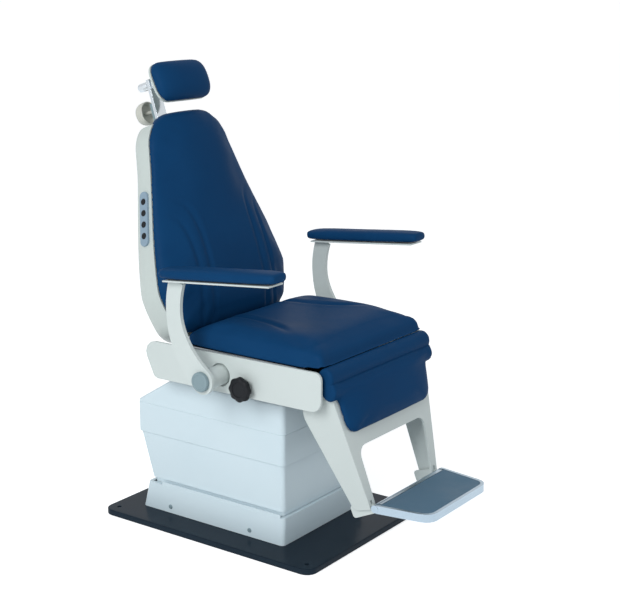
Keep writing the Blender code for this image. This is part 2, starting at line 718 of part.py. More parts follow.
def bent_tube(points, radius, out, sides=6):
    """Closed tube through points, for cutting a sewn channel."""
    rings = []
    for index, point in enumerate(points):
        before = points[max(index - 1, 0)]
        after = points[min(index + 1, len(points) - 1)]
        along = (after - before).normalized()
        across = along.cross(out).normalized()
        other = along.cross(across)
        ring = []
        for side in range(sides):
            angle = 2.0 * pi * side / sides
            ring.append(point + (across * cos(angle) + other * sin(angle)) * radius)
        rings.append(ring)
    return stacked(rings)


def superround(u, power):
    return max(0.0, 1.0 - abs(u) ** power) ** (1.0 / power)


def make_seat_cushion():
    depth = SEAT_REAR - SEAT_FRONT
    rows = 18
    columns = 18
    floor = SIDE_TOP + FIT

    def underside(y):
        share = max(0.0, (SEAT_NOSE_START - y) / (SEAT_NOSE_START - SEAT_FRONT))
        return floor + SEAT_NOSE * share ** 2

    def plan_half(t):
        ends = superround((t - 0.5) * 2.0, 6.0)
        return SEAT_HALF * (0.84 + 0.16 * ends) - SEAT_DRAW_IN * (1.0 - superround((t - 0.5) * 2.0, 2.0))

    def rise(u, t):
        bolster = SEAT_BOLSTER * abs(u) ** 3
        side = superround(u, 6.0)
        ends = superround((t - 0.5) * 2.0, 5.0)
        return (SEAT_RISE - SEAT_BOLSTER + bolster) * side * ends + SEAT_EDGE

    data = bmesh.new()
    top = []
    under = []
    for row in range(rows + 1):
        t = 0.5 - 0.5 * cos(pi * row / rows)
        y = SEAT_FRONT + depth * t
        top_line = []
        under_line = []
        for column in range(columns + 1):
            u = -cos(pi * column / columns)
            x = u * plan_half(t)
            base = underside(y)
            share = (y - SEAT_FRONT) / depth
            lift = rise(u, share) * (1.0 - (base - floor) / SEAT_RISE)
            top_line.append(data.verts.new((x, y, base + lift)))
            edge = row in (0, rows) or column in (0, columns)
            if edge:
                under_line.append(data.verts.new((x, y, base)))
        top.append(top_line)
        under.append(under_line)
    for lower, upper in zip(top, top[1:]):
        for index in range(columns):
            data.faces.new((lower[index], lower[index + 1], upper[index + 1], upper[index]))
    for index in range(columns):
        data.faces.new((top[0][index], under[0][index], under[0][index + 1], top[0][index + 1]))
        data.faces.new((top[-1][index], top[-1][index + 1], under[-1][index + 1], under[-1][index]))
    for row in range(rows):
        left_low, right_low = under[row][0], under[row][-1]
        left_high, right_high = under[row + 1][0], under[row + 1][-1]
        data.faces.new((top[row][0], top[row + 1][0], left_high, left_low))
        data.faces.new((top[row][-1], right_low, right_high, top[row + 1][-1]))
        if 0 < row < rows - 1:
            data.faces.new((left_low, left_high, right_high, right_low))
    data.faces.new(under[0] + [under[1][-1], under[1][0]])
    data.faces.new(under[-1] + [under[-2][-1], under[-2][0]])
    cushion = solid("seat_cushion", data, NAVY_VINYL)
    roll_room = rod("X", (LEG_PIVOT_Y, LEG_PIVOT_Z), LEG_ROLL_REACH, -LEG_ROLL_HALF, LEG_ROLL_HALF, 32)
    cut(cushion, roll_room, "roll_room")
    for label, side in SIDES.items():
        points = []
        for step in range(13):
            share = step / 12.0
            y = SEAT_REAR - SEAT_CHANNEL_REAR - (depth - SEAT_CHANNEL_SHORT) * share
            x = side * (SEAT_HALF * 0.46 + SEAT_HALF * 0.34 * share ** 3)
            u = x / plan_half((y - SEAT_FRONT) / depth)
            points.append(Vector((x, y, underside(y) + rise(u, (y - SEAT_FRONT) / depth) + 0.003)))
        cut(cushion, bent_tube(points, CHANNEL_RADIUS * 0.7, Vector((0.0, 0.0, 1.0))), "channel_" + label)


# Cranks, link and recline actuator
def crank_pin(pivot_y, pivot_z):
    """Where a crank's pin lies at rest, seen from the side."""
    angle = radians(CRANK_BACK_ANGLE)
    return pivot_y + CRANK_RADIUS * sin(angle), pivot_z - CRANK_RADIUS * cos(angle)


def into_frame(y, z, pivot_y, pivot_z, lean):
    """Side-view point in the leaning frame of a pivot."""
    a = radians(lean)
    dy = y - pivot_y
    dz = z - pivot_z
    return dy * cos(a) - dz * sin(a), dy * sin(a) + dz * cos(a)


def make_crank(name, frame, pin, half_length, plate_x, pin_low, pin_high):
    tube = SHAFT_RADIUS + TUBE_WALL
    crank = solid(name, rod("X", (0.0, 0.0), tube, -half_length, half_length), PLAIN_STEEL, frame)
    outline = capsule((0.0, 0.0), pin, SHAFT_RADIUS + TUBE_WALL / 2.0, LINK_EYE)
    join(crank, prism(outline, "X", plate_x - CRANK_PLATE / 2.0, plate_x + CRANK_PLATE / 2.0), "plate")
    join(crank, rod("X", pin, CRANK_PIN, pin_low, pin_high, 16), "pin")
    cut(crank, rod("X", (0.0, 0.0), SHAFT_RADIUS + RUN, -half_length - 0.01, half_length + 0.01), "bore")
    return crank


def make_link(back_pin, leg_pin):
    link = frame_at("link_frame", (0.0, back_pin[0], back_pin[1]))
    dy = leg_pin[0] - back_pin[0]
    dz = leg_pin[1] - back_pin[1]
    low = LINK_X - LINK_THICK / 2.0
    high = LINK_X + LINK_THICK / 2.0
    bar = solid("legrest_link", prism(capsule((0.0, 0.0), (dy, dz), LINK_EYE, LINK_EYE), "X", low, high),
                PLAIN_STEEL, link)
    for label, centre in (("back", (0.0, 0.0)), ("leg", (dy, dz))):
        cut(bar, rod("X", centre, CRANK_PIN + RUN, low - 0.01, high + 0.01, 16), "hole_" + label)


def make_recline_actuator(pin):
    centre = (ACTUATOR_X, ACTUATOR_Z)
    body = solid("recline_actuator_body", rod("Y", centre, ACTUATOR_RADIUS, ACTUATOR_FRONT + 0.02, ACTUATOR_NECK),
                 BLACK_PLASTIC)
    low = SIDE_BOTTOM + CROSS_THICK + FIT
    join(body, block(ACTUATOR_X - 0.024, ACTUATOR_X + 0.024, ACTUATOR_FRONT, ACTUATOR_FRONT + 0.060, low,
                     low + 0.055), "motor")
    travel = 2.0 * CRANK_RADIUS * sin(radians(CRANK_BACK_ANGLE))
    rod_front = ACTUATOR_FRONT + 0.064 + travel
    cut(body, rod("Y", centre, ACTUATOR_ROD + RUN, ACTUATOR_FRONT + 0.062, ACTUATOR_NECK + 0.01, 16), "bore")
    frame = frame_at("recline_rod_frame", (0.0, 0.0, 0.0))
    yoke_front = pin[0] - YOKE_LENGTH / 2.0
    piston = solid("recline_actuator_rod", rod("Y", centre, ACTUATOR_ROD, rod_front, yoke_front + 0.004, 16),
                   BRIGHT_CHROME, frame)
    half = YOKE_THICK / 2.0
    join(piston, block(ACTUATOR_X - half, ACTUATOR_X + half, yoke_front, yoke_front + YOKE_LENGTH,
                       ACTUATOR_Z - YOKE_HEIGHT / 2.0, ACTUATOR_Z + YOKE_HEIGHT / 2.0), "yoke")
    wide = CRANK_PIN + YOKE_SIDE_PLAY
    tall = CRANK_PIN + YOKE_RISE_PLAY
    cut(piston, block(ACTUATOR_X - 2.0 * half, ACTUATOR_X + 2.0 * half, pin[0] - wide, pin[0] + wide,
                      ACTUATOR_Z - tall, ACTUATOR_Z + tall), "slot")


# Backrest
def back_half(z, bottom):
    """Half width of the back at height z, with its lower corners rounded at the given bottom."""
    if z < BACK_WIDEST_AT:
        share = (BACK_WIDEST_AT - z) / (BACK_WIDEST_AT - BACK_BOTTOM)
        half = BACK_HALF_WIDEST - (BACK_HALF_WIDEST - BACK_HALF_BOTTOM) * share ** 1.6
    else:
        share = (z - BACK_WIDEST_AT) / (BACK_TOP - BACK_WIDEST_AT)
        sweep = 3.0 * share ** 2 - 2.0 * share ** 3
        half = BACK_HALF_WIDEST - (BACK_HALF_WIDEST - BACK_HALF_TOP) * (0.45 * sweep + 0.55 * share)
    low_corner = BACK_CORNER / 2.0
    top_share = max(0.0, 1.0 - (BACK_TOP - z) / BACK_CORNER)
    low_share = max(0.0, 1.0 - (z - bottom) / low_corner)
    half -= BACK_CORNER * (1.0 - sqrt(max(0.0, 1.0 - top_share ** 2)))
    half -= low_corner * (1.0 - sqrt(max(0.0, 1.0 - low_share ** 2)))
    return half


def cushion_half(t):
    return back_half(BACK_BOTTOM + (BACK_TOP - BACK_BOTTOM) * t, BACK_BOTTOM)


def shell_depth(t):
    return SHELL_DEPTH_LOW + (SHELL_DEPTH_TOP - SHELL_DEPTH_LOW) * min(1.0, t / 0.75)


def shell_point(t, angle, inset):
    """Point of the shell's rear surface; angle runs from the right edge (0) to the left edge (pi)."""
    ends = superround(max(0.0, t - 0.5) * 2.0, 8.0)
    z = SHELL_BOTTOM + (SHELL_TOP - SHELL_BOTTOM) * t
    half = back_half(z, SHELL_BOTTOM) - inset
    deep = shell_depth((z - SHELL_BOTTOM) / (BACK_TOP - SHELL_BOTTOM)) * (0.5 + 0.5 * ends) - inset
    c = cos(angle)
    s = sin(angle)
    x = -half * abs(c) ** (2.0 / SHELL_POWER) * (1.0 if c >= 0.0 else -1.0)
    y = BACK_FACE + deep * abs(s) ** (2.0 / SHELL_POWER)
    return x, y, z


def shell_skin(data, inset, margin):
    """Grid of faces over the shell's rear surface; margin is left off each end, as a share."""
    rows = 16
    arc = 16
    grid = []
    for row in range(rows + 1):
        share = 0.5 - 0.5 * cos(pi * row / rows)
        t = margin + (1.0 - 2.0 * margin) * share
        grid.append([data.verts.new(shell_point(t, pi * k / arc, inset)) for k in range(arc + 1)])
    for lower, upper in zip(grid, grid[1:]):
        for index in range(arc):
            data.faces.new((lower[index], lower[index + 1], upper[index + 1], upper[index]))
    return grid


def shell_form(inset):
    """The shell filled solid, to cut a seat into what lies on it."""
    data = bmesh.new()
    grid = shell_skin(data, inset, 0.0)
    data.faces.new(grid[0])
    data.faces.new(grid[-1])
    for lower, upper in zip(grid, grid[1:]):
        data.faces.new((lower[0], upper[0], upper[-1], lower[-1]))
    return data


def make_back_shell(back):
    data = bmesh.new()
    outer = shell_skin(data, 0.0, 0.0)
    inner = shell_skin(data, SHELL_WALL, 1.5 * SHELL_WALL / (SHELL_TOP - SHELL_BOTTOM))
    data.faces.new(outer[0])
    data.faces.new(outer[-1])
    data.faces.new(inner[0])
    data.faces.new(inner[-1])
    for end in (0, -1):
        for a, b, c, d in zip(outer, outer[1:], inner, inner[1:]):
            data.faces.new((a[end], b[end], d[end], c[end]))
    for end in (0, -1):
        data.faces.new((outer[end][0], outer[end][-1], inner[end][-1], inner[end][0]))
    shell = solid("back_shell", data, FRAME_WHITE, back)
    cut(shell, block(-FRAME_SLOT_HALF, FRAME_SLOT_HALF, -FRAME_SLOT_DEEP, FRAME_SLOT_DEEP,
                     SHELL_BOTTOM - FRAME_SLOT_UP, SHELL_BOTTOM + FRAME_SLOT_UP), "frame_slot")
    bar_half = BAR_WIDTH / 2.0 + SLOT_GAP
    cut(shell, block(-bar_half, bar_half, BAR_Y - BAR_THICK, BAR_Y + SHELL_DEPTH_TOP,
                     GUIDE_TOP - GUIDE_HEIGHT - SLOT_GAP, BACK_TOP + BAR_THICK), "bar_slot")


def make_back_frame(back):
    top = GUIDE_TOP - GUIDE_HEIGHT - FIT
    guide_low = top
    tube = SHAFT_RADIUS + TUBE_WALL
    wide = BACK_FRAME_HALF
    thick = BACK_FRAME_THICK / 2.0
    inner = wide - BACK_BAR_WIDTH
    low = tube + FIT
    bar_top = guide_low - STANDOFF_HALF
    frame = solid("back_frame", block(-wide, -inner, -thick, thick, low, bar_top), SLATE_STEEL, back)
    join(frame, block(inner, wide, -thick, thick, low, bar_top), "left_bar")
    join(frame, block(-wide, wide, -thick, thick, guide_low - BACK_BRIDGE_TOP, guide_low), "top_bridge")
    bridge_top = BACK_BRIDGE_LOW + BACK_BRIDGE_WIDTH
    join(frame, block(-wide, wide, -thick, thick, BACK_BRIDGE_LOW, bridge_top), "low_bridge")
    bridge_middle = BACK_BRIDGE_LOW + BACK_BRIDGE_WIDTH / 2.0
    for label, up in (("low", bridge_middle), ("high", guide_low - STANDOFF_DOWN)):
        join(frame, block(-STANDOFF_HALF, STANDOFF_HALF, BACK_FACE, -thick / 2.0, up - STANDOFF_HEIGHT / 2.0,
                          up + STANDOFF_HEIGHT / 2.0), "standoff_" + label)
    half = BAR_WIDTH / 2.0 + GUIDE_WALL
    guide_front = -0.005
    guide = solid("headrest_guide", block(-half, half, guide_front, BAR_Y + BAR_THICK / 2.0 + RUN + 0.004,
                                          GUIDE_TOP - GUIDE_HEIGHT, GUIDE_TOP), GREY_PLASTIC, back)
    wide = BAR_WIDTH / 2.0 + RUN
    deep = BAR_THICK / 2.0 + RUN
    join(guide, block(-GUIDE_TONGUE_HALF, GUIDE_TONGUE_HALF, BAR_Y, BAR_Y + deep + GUIDE_TONGUE_THICK,
                      GUIDE_TOP - GUIDE_HEIGHT / 2.0, GUIDE_TONGUE_TOP), "tongue")
    cut(guide, block(-wide, wide, BAR_Y - deep, BAR_Y + deep, GUIDE_TOP - GUIDE_HEIGHT - 0.01,
                     GUIDE_TONGUE_TOP + 0.01), "bar_way")
    cut(guide, rod("Y", (0.0, HAND_KNOB_UP), KNOB_STEM_RADIUS + RUN, BAR_Y, BAR_Y + 2.0 * HAND_KNOB_THICK, 16),
        "knob_way")


def make_back_cushion(back):
    length = BACK_TOP - BACK_BOTTOM

    def height(u, t):
        side = superround(u, 3.0 - 0.8 * min(1.0, max(0.0, (t - 0.25) / 0.4)))
        ends = superround((t - 0.5) * 2.0, 6.0)
        lumbar = BACK_LUMBAR * sin(pi * min(1.0, t / 0.6))
        return FIT + BACK_EDGE + (BACK_CROWN - BACK_EDGE + lumbar - BACK_LUMBAR) * side * ends

    data = dome_grid(cushion_half, BACK_BOTTOM, BACK_TOP, BACK_FACE - FIT, height, 18, 24, -1.0)
    cushion = solid("back_cushion", data, NAVY_VINYL, back)
    wrap_low = SHELL_TOP + FIT
    wrap_high = BACK_TOP - BACK_WRAP_DROP

    def wrap_half(t):
        return BACK_WRAP_SHARE * back_half(wrap_low + (wrap_high - wrap_low) * t, BACK_BOTTOM)

    def wrap_height(u, t):
        return BACK_WRAP_ROOT + BACK_WRAP_DEPTH * superround(u, 5.0) * superround(t, 3.0)

    root = BACK_FACE - FIT - BACK_WRAP_ROOT
    join(cushion, dome_grid(wrap_half, wrap_low, wrap_high, root, wrap_height, 10, 6, 1.0), "top_wrap")
    for label, side in SIDES.items():
        for index, (line, flare, top) in enumerate(BACK_CHANNELS):
            points = []
            for step in range(15):
                share = step / 14.0
                x = side * (line + CHANNEL_TOE * (1.0 - share) ** 2 + flare * share ** 4)
                z = CHANNEL_LOW + (top - CHANNEL_LOW) * sin(share * pi / 2.0)
                t = (z - BACK_BOTTOM) / length
                y = BACK_FACE - height(x / cushion_half(t), t) - 0.003
                points.append(Vector((x, y, z)))
            channel = bent_tube(points, CHANNEL_RADIUS * 0.75, Vector((0.0, 1.0, 0.0)))
            cut(cushion, channel, "channel_%s_%d" % (label, index))


def make_controls(back):
    t = (STRIP_UP - SHELL_BOTTOM) / (SHELL_TOP - SHELL_BOTTOM)
    angle = STRIP_ROUND
    small = 1e-3
    here = Vector(shell_point(t, angle, 0.0))
    above = Vector(shell_point(t + small, angle, 0.0))
    up = (above - Vector(shell_point(t - small, angle, 0.0))).normalized()
    round_way = Vector(shell_point(t, angle + small, 0.0)) - Vector(shell_point(t, angle - small, 0.0))
    out = up.cross(round_way).normalized()
    if out.x > 0.0:
        out = -out
    across = up.cross(out).normalized()
    turn = Matrix((across, up, out)).transposed().to_4x4()
    place = Matrix.Translation(here + out * FIT) @ turn
    half_w = STRIP_WIDTH / 2.0
    half_l = STRIP_LENGTH / 2.0
    strip = solid("control_strip", prism(rectangle(-half_w, half_w, -half_l, half_l, half_w - 0.001), "Z",
                                         -STRIP_ROOT, STRIP_THICK), STRIP_PLASTIC, back)
    strip.matrix_local = place
    cut(strip, shell_form(-FIT), "seat")
    for index, name in enumerate(KEY_NAMES):
        offset = (1.5 - index) * KEY_PITCH
        pocket = rod("Z", (0.0, offset), KEY_RADIUS + RUN, STRIP_THICK - KEY_POCKET, STRIP_THICK + 0.01, 16)
        cut(strip, pocket, "pocket_" + name)
        strip.modifiers[-1].object.matrix_local = place
        bottom = STRIP_THICK - KEY_POCKET + KEY_TRAVEL + FIT
        key = solid("key_" + name, rod("Z", (0.0, 0.0), KEY_RADIUS, bottom, STRIP_THICK + KEY_PROUD, 16),
                    BLACK_PLASTIC, back)
        key.matrix_local = place @ Matrix.Translation((0.0, offset, 0.0))
    axis = (back.matrix_basis.to_3x3() @ out)
    print("key press axis", [round(-c, 5) for c in axis])


# Headrest
def make_headrest(back):
    bar_frame = frame_at("bar_frame", (0.0, BAR_Y, 0.0), 0.0, back)
    half = BAR_WIDTH / 2.0
    bar = solid("headrest_bar", block(-half, half, -BAR_THICK / 2.0, BAR_THICK / 2.0, BAR_BOTTOM, BAR_TOP),
                BRIGHT_CHROME, bar_frame)
    tilt_y = -TILT_BACK
    join(bar, block(-0.011, 0.011, tilt_y - 0.010, 0.0, TILT_UP - 0.012, TILT_UP + 0.012), "tongue")
    cut(bar, rod("X", (tilt_y, TILT_UP), HINGE_PIN_RADIUS + RUN, -BAR_WIDTH, BAR_WIDTH, 16), "tilt_hole")
    screw_way = rod("Y", (0.0, TILT_UP), TILT_SCREW_RADIUS + RUN, -BAR_THICK / 2.0 - RUN, BAR_THICK, 12)
    cut(bar, screw_way, "screw_hole")
    knob_frame = frame_at("hand_knob_frame", (0.0, 0.0, HAND_KNOB_UP), 0.0, back)
    rear = BAR_Y + BAR_THICK / 2.0 + RUN + GUIDE_TONGUE_THICK + HAND_KNOB_GAP
    r = HAND_KNOB_RADIUS
    t = HAND_KNOB_THICK
    profile = [(0.010, rear), (0.011, rear + 0.004), (r * 0.80, rear + t * 0.35), (r, rear + t * 0.55),
               (r * 0.97, rear + t * 0.80), (r * 0.80, rear + t), (r * 0.45, rear + t * 0.80)]
    knob = solid("headrest_hand_knob", turned(profile, "Y", (0.0, 0.0)), IVORY_PLASTIC, knob_frame)
    stem_start = BAR_Y + BAR_THICK / 2.0 + RUN
    join(knob, rod("Y", (0.0, 0.0), KNOB_STEM_RADIUS, stem_start, rear + 0.002, 16), "stem")

    tilt = frame_at("tilt_frame", (0.0, tilt_y, TILT_UP), 0.0, bar_frame)
    pin = rod("X", (0.0, 0.0), HINGE_PIN_RADIUS, -HEAD_PIN_REACH, HEAD_PIN_REACH, 16)
    bracket = solid("headrest_bracket", pin, BRIGHT_CHROME, tilt)
    for label, side in SIDES.items():
        low, high = sorted((side * CHEEK_IN, side * CHEEK_OUT))
        outline = rounded([(HEAD_FACE + CHEEK_ROOT, -CHEEK_HALF, 0.0), (CHEEK_REAR, -CHEEK_HALF, CHEEK_ROUND),
                           (CHEEK_REAR, CHEEK_HALF, CHEEK_ROUND), (HEAD_FACE + CHEEK_ROOT, CHEEK_HALF, 0.0)])
        join(bracket, prism(outline, "X", low, high), "cheek_" + label)
    rise = HEAD_UP - TILT_UP
    lean = radians(HEAD_TILT)
    foot = []
    for y, z in ((0.0, -FOOT_BELOW), (HEAD_FOOT_THICK, -FOOT_BELOW), (HEAD_FOOT_THICK, FOOT_ABOVE),
                 (0.0, FOOT_ABOVE)):
        foot.append((HEAD_FACE + y * cos(lean) + z * sin(lean), rise - y * sin(lean) + z * cos(lean)))
    join(bracket, prism(foot, "X", -FOOT_ABOVE, FOOT_ABOVE), "foot")
    head = frame_at("head_frame", (0.0, HEAD_FACE, rise), HEAD_TILT, tilt)

    def head_half(t):
        return HEAD_HALF_WIDTH * (0.55 + 0.45 * superround((t - 0.5) * 2.0, 3.0)) * (0.97 + 0.03 * t)
    low = -HEAD_HALF_HEIGHT
    high = HEAD_HALF_HEIGHT
    clear = FIT

    def shell_height(u, t):
        arch = superround(u, 5.0) * superround((t - 0.5) * 2.0, 5.0)
        return HEAD_SHELL_EDGE + (HEAD_SHELL - HEAD_SHELL_EDGE) * arch
    shell = dome_grid(head_half, low, high, -clear - HEAD_SHELL, shell_height, 12, 8, 1.0)
    solid("headrest_shell", shell, FRAME_WHITE, head)

    def pad_height(u, t):
        arch = superround(u, 2.4) * superround((t - 0.5) * 2.0, 2.2)
        return HEAD_EDGE + (HEAD_CROWN - HEAD_EDGE) * arch
    pad = dome_grid(head_half, low, high, -clear - HEAD_SHELL - FIT, pad_height, 16, 14, -1.0)
    solid("headrest_cushion", pad, NAVY_VINYL, head)
    knob_place = frame_at("tilt_knob_frame", (0.0, 0.0, TILT_UP), 0.0, bar_frame)
    profile = [(TILT_KNOB_RADIUS * 0.7, 0.0), (TILT_KNOB_RADIUS, 0.004),
               (TILT_KNOB_RADIUS, TILT_KNOB_LENGTH - 0.003), (TILT_KNOB_RADIUS * 0.8, TILT_KNOB_LENGTH)]
    rear = BAR_THICK / 2.0 + FIT
    profile = [(radius, rear + along) for radius, along in profile]
    tilt_knob = solid("headrest_tilt_knob", turned(profile, "Y", (0.0, 0.0)), BRIGHT_CHROME, knob_place)
    join(tilt_knob, rod("Y", (0.0, 0.0), TILT_SCREW_RADIUS, -BAR_THICK / 2.0, rear + 0.002, 12), "screw")


# Legrest and footplate
def leg_half(z):
    """Outer half width of the legrest at height z in its own frame."""
    share = (z - LEG_BOTTOM) / (-LEG_BOTTOM)
    return LEG_HALF_BOTTOM + (LEG_HALF_TOP - LEG_HALF_BOTTOM) * share


def make_legrest(leg):
    top = LEG_PANEL_TOP
    bottom = LEG_BOTTOM
    panel = solid("legrest_frame", prism([(-leg_half(bottom), bottom), (leg_half(bottom), bottom),
                                          (leg_half(top), top), (-leg_half(top), top)], "Y",
                                         LEG_FACE, LEG_FACE + LEG_WALL), FRAME_WHITE, leg)
    rear_top = LEG_FACE + LEG_DEPTH_TOP
    rear_bottom = LEG_FACE + LEG_DEPTH_BOTTOM
    side_view = rounded([(LEG_FACE, bottom, 0.0), (rear_bottom, bottom, LEG_HEEL_ROUND),
                         (rear_top, LEG_HIP_UP, LEG_HIP_ROUND), (LEG_NAPE_BACK, LEG_NAPE_UP, LEG_NAPE_UP),
                         (LEG_FACE, top, 0.0)])
    for label, side in SIDES.items():
        rings = []
        for inset in (0.0, LEG_WALL):
            rings.append([(side * (leg_half(z) - inset), y, z) for y, z in side_view])
        join(panel, stacked(rings), "flange_" + label)
    opening = rounded([(-leg_half(LEG_BRIDGE) + LEG_ARM_TOP, LEG_BRIDGE, WINDOW_CORNER),
                       (leg_half(LEG_BRIDGE) - LEG_ARM_TOP, LEG_BRIDGE, WINDOW_CORNER),
                       (leg_half(bottom) - LEG_ARM_BOTTOM, bottom - 0.01, 0.0),
                       (-leg_half(bottom) + LEG_ARM_BOTTOM, bottom - 0.01, 0.0)])
    cut(panel, prism(opening, "Y", LEG_FACE - 0.01, LEG_FACE + LEG_WALL + 0.01), "window")
    hinge = into_frame(*foot_hinge(), LEG_PIVOT_Y, LEG_PIVOT_Z, LEG_LEAN)
    for label, side in SIDES.items():
        low, high = sorted((side * (BRACKET_IN - BRACKET_NOTCH),
                            side * (BRACKET_IN + BRACKET_THICK + BRACKET_NOTCH)))
        cut(panel, block(low, high, LEG_FACE - LEG_WALL, LEG_FACE + LEG_WALL + BRACKET_NOTCH,
                         bottom - LEG_WALL, hinge[1] + 2.0 * BRACKET_EYE), "bracket_notch_" + label)
    reach = LEG_HALF_TOP + 0.02
    cut(panel, rod("X", (0.0, 0.0), SHAFT_RADIUS + RUN, -reach, reach), "shaft_hole")
    length = LEG_CUSHION_TOP - LEG_CUSHION_BOTTOM

    def half(t):
        ends = superround((t - 0.5) * 2.0, 6.0)
        width = LEG_CUSHION_HALF_BOTTOM + (LEG_CUSHION_HALF_TOP - LEG_CUSHION_HALF_BOTTOM) * t
        return width * (0.90 + 0.10 * ends)

    def height(u, t):
        z = LEG_CUSHION_BOTTOM + length * t
        roll = 1.0 - LEG_CREASE_SHARE * max(0.0, 1.0 - abs(z - LEG_CREASE_AT) / LEG_CREASE_HALF)
        arch = superround(u, 3.8) * superround((t - 0.5) * 2.0, 4.0)
        return FIT + LEG_CUSHION_EDGE + (LEG_CUSHION_CROWN - LEG_CUSHION_EDGE) * arch * roll
    data = dome_grid(half, LEG_CUSHION_BOTTOM, LEG_CUSHION_TOP, LEG_FACE - FIT, height, 16, 18, -1.0)
    solid("leg_cushion", data, NAVY_VINYL, leg)


def foot_hinge():
    """Side-view place of the footplate's hinge, worked out from the legrest's front face."""
    a = radians(LEG_LEAN)
    z = FOOT_TOP - FOOT_THICK / 2.0
    y_local = LEG_FACE - FOOT_HINGE_AHEAD
    z_local = (z - LEG_PIVOT_Z + y_local * sin(a)) / cos(a)
    y = LEG_PIVOT_Y + z_local * sin(a) + y_local * cos(a)
    return y, z


def make_foot(leg):
    hinge_y, hinge_z = foot_hinge()
    foot = frame_at("foot_frame", (0.0, hinge_y, hinge_z))
    half_t = FOOT_THICK / 2.0
    rear = -half_t / 3.0
    plan = rounded([(-FOOT_HALF_REAR, rear, 0.0), (-FOOT_HALF_FRONT, -FOOT_DEPTH, FOOT_CORNER),
                    (FOOT_HALF_FRONT, -FOOT_DEPTH, FOOT_CORNER), (FOOT_HALF_REAR, rear, 0.0)])
    tray = solid("footplate_tray", prism(plan, "Z", -half_t, half_t), ALUMINIUM, foot)
    join(tray, rod("X", (0.0, 0.0), half_t * BARREL_SHARE, -FOOT_HALF_REAR, FOOT_HALF_REAR), "barrel")
    shrink = FOOT_RIM
    pocket = rounded([(-FOOT_HALF_REAR + shrink, -half_t, 0.0),
                      (-FOOT_HALF_FRONT + shrink, -FOOT_DEPTH + shrink, FOOT_CORNER - shrink),
                      (FOOT_HALF_FRONT - shrink, -FOOT_DEPTH + shrink, FOOT_CORNER - shrink),
                      (FOOT_HALF_REAR - shrink, -half_t, 0.0)])
    cut(tray, prism(pocket, "Z", half_t - MAT_THICK, half_t + 0.01), "pocket")
    gap = BRACKET_NOTCH
    for label, side in SIDES.items():
        low, high = sorted((side * (BRACKET_IN - gap), side * (BRACKET_IN + BRACKET_THICK + gap)))
        reach = BRACKET_EYE + 0.002
        cut(tray, block(low, high, -reach, reach, -2.0 * half_t, 2.0 * half_t), "notch_" + label)
        low, high = sorted((side * (BRACKET_IN - 0.018), side * (BRACKET_IN + 0.001)))
        cut(tray, rod("X", (0.0, 0.0), FOOT_PIN_RADIUS + RUN, low, high, 16), "pin_bore_" + label)
    inner = rounded([(-FOOT_HALF_REAR + shrink + 0.0006, -half_t - 0.0012, 0.0),
                     (-FOOT_HALF_FRONT + shrink + 0.0006, -FOOT_DEPTH + shrink + 0.0006, FOOT_CORNER - shrink),
                     (FOOT_HALF_FRONT - shrink - 0.0006, -FOOT_DEPTH + shrink + 0.0006, FOOT_CORNER - shrink),
                     (FOOT_HALF_REAR - shrink - 0.0006, -half_t - 0.0012, 0.0)])
    solid("footplate_mat", prism(inner, "Z", half_t - MAT_THICK + FIT, half_t), GREY_RUBBER, foot)
    y, z = into_frame(hinge_y, hinge_z, LEG_PIVOT_Y, LEG_PIVOT_Z, LEG_LEAN)
    rear = LEG_FACE + LEG_DEPTH_BOTTOM
    outline = rounded([(y - BRACKET_EYE, z + 0.004, 0.006), (y - BRACKET_EYE, z - BRACKET_EYE, 0.006),
                       (rear + 0.012, LEG_BOTTOM - 0.022, 0.008), (rear + 0.016, LEG_BOTTOM + 0.012, 0.008),
                       (LEG_FACE + LEG_WALL + 0.004, z + 0.012, 0.006)])
    for label, side in SIDES.items():
        low, high = sorted((side * BRACKET_IN, side * (BRACKET_IN + BRACKET_THICK)))
        bracket = solid("foot_bracket_" + label, prism(outline, "X", low, high), FRAME_WHITE, leg)
        low, high = sorted((side * (BRACKET_IN - 0.016), side * (BRACKET_IN + 0.001)))
        join(bracket, rod("X", (y, z), FOOT_PIN_RADIUS, low, high, 16), "pin")


# Armrests
def post_centre(share):
    """Centre line of the armrest post, a cubic curve from the pad down to the pivot."""
    start = Vector((0.019, PAD_CENTRE_Z - 0.033))
    bow = Vector((0.050, 0.632))
    knee = Vector((0.022, 0.545))
    end = Vector((ARM_PIVOT_Y, ARM_PIVOT_Z))
    rest = 1.0 - share
    ends = start * rest ** 3 + end * share ** 3
    return ends + bow * (3.0 * rest ** 2 * share) + knee * (3.0 * rest * share ** 2)


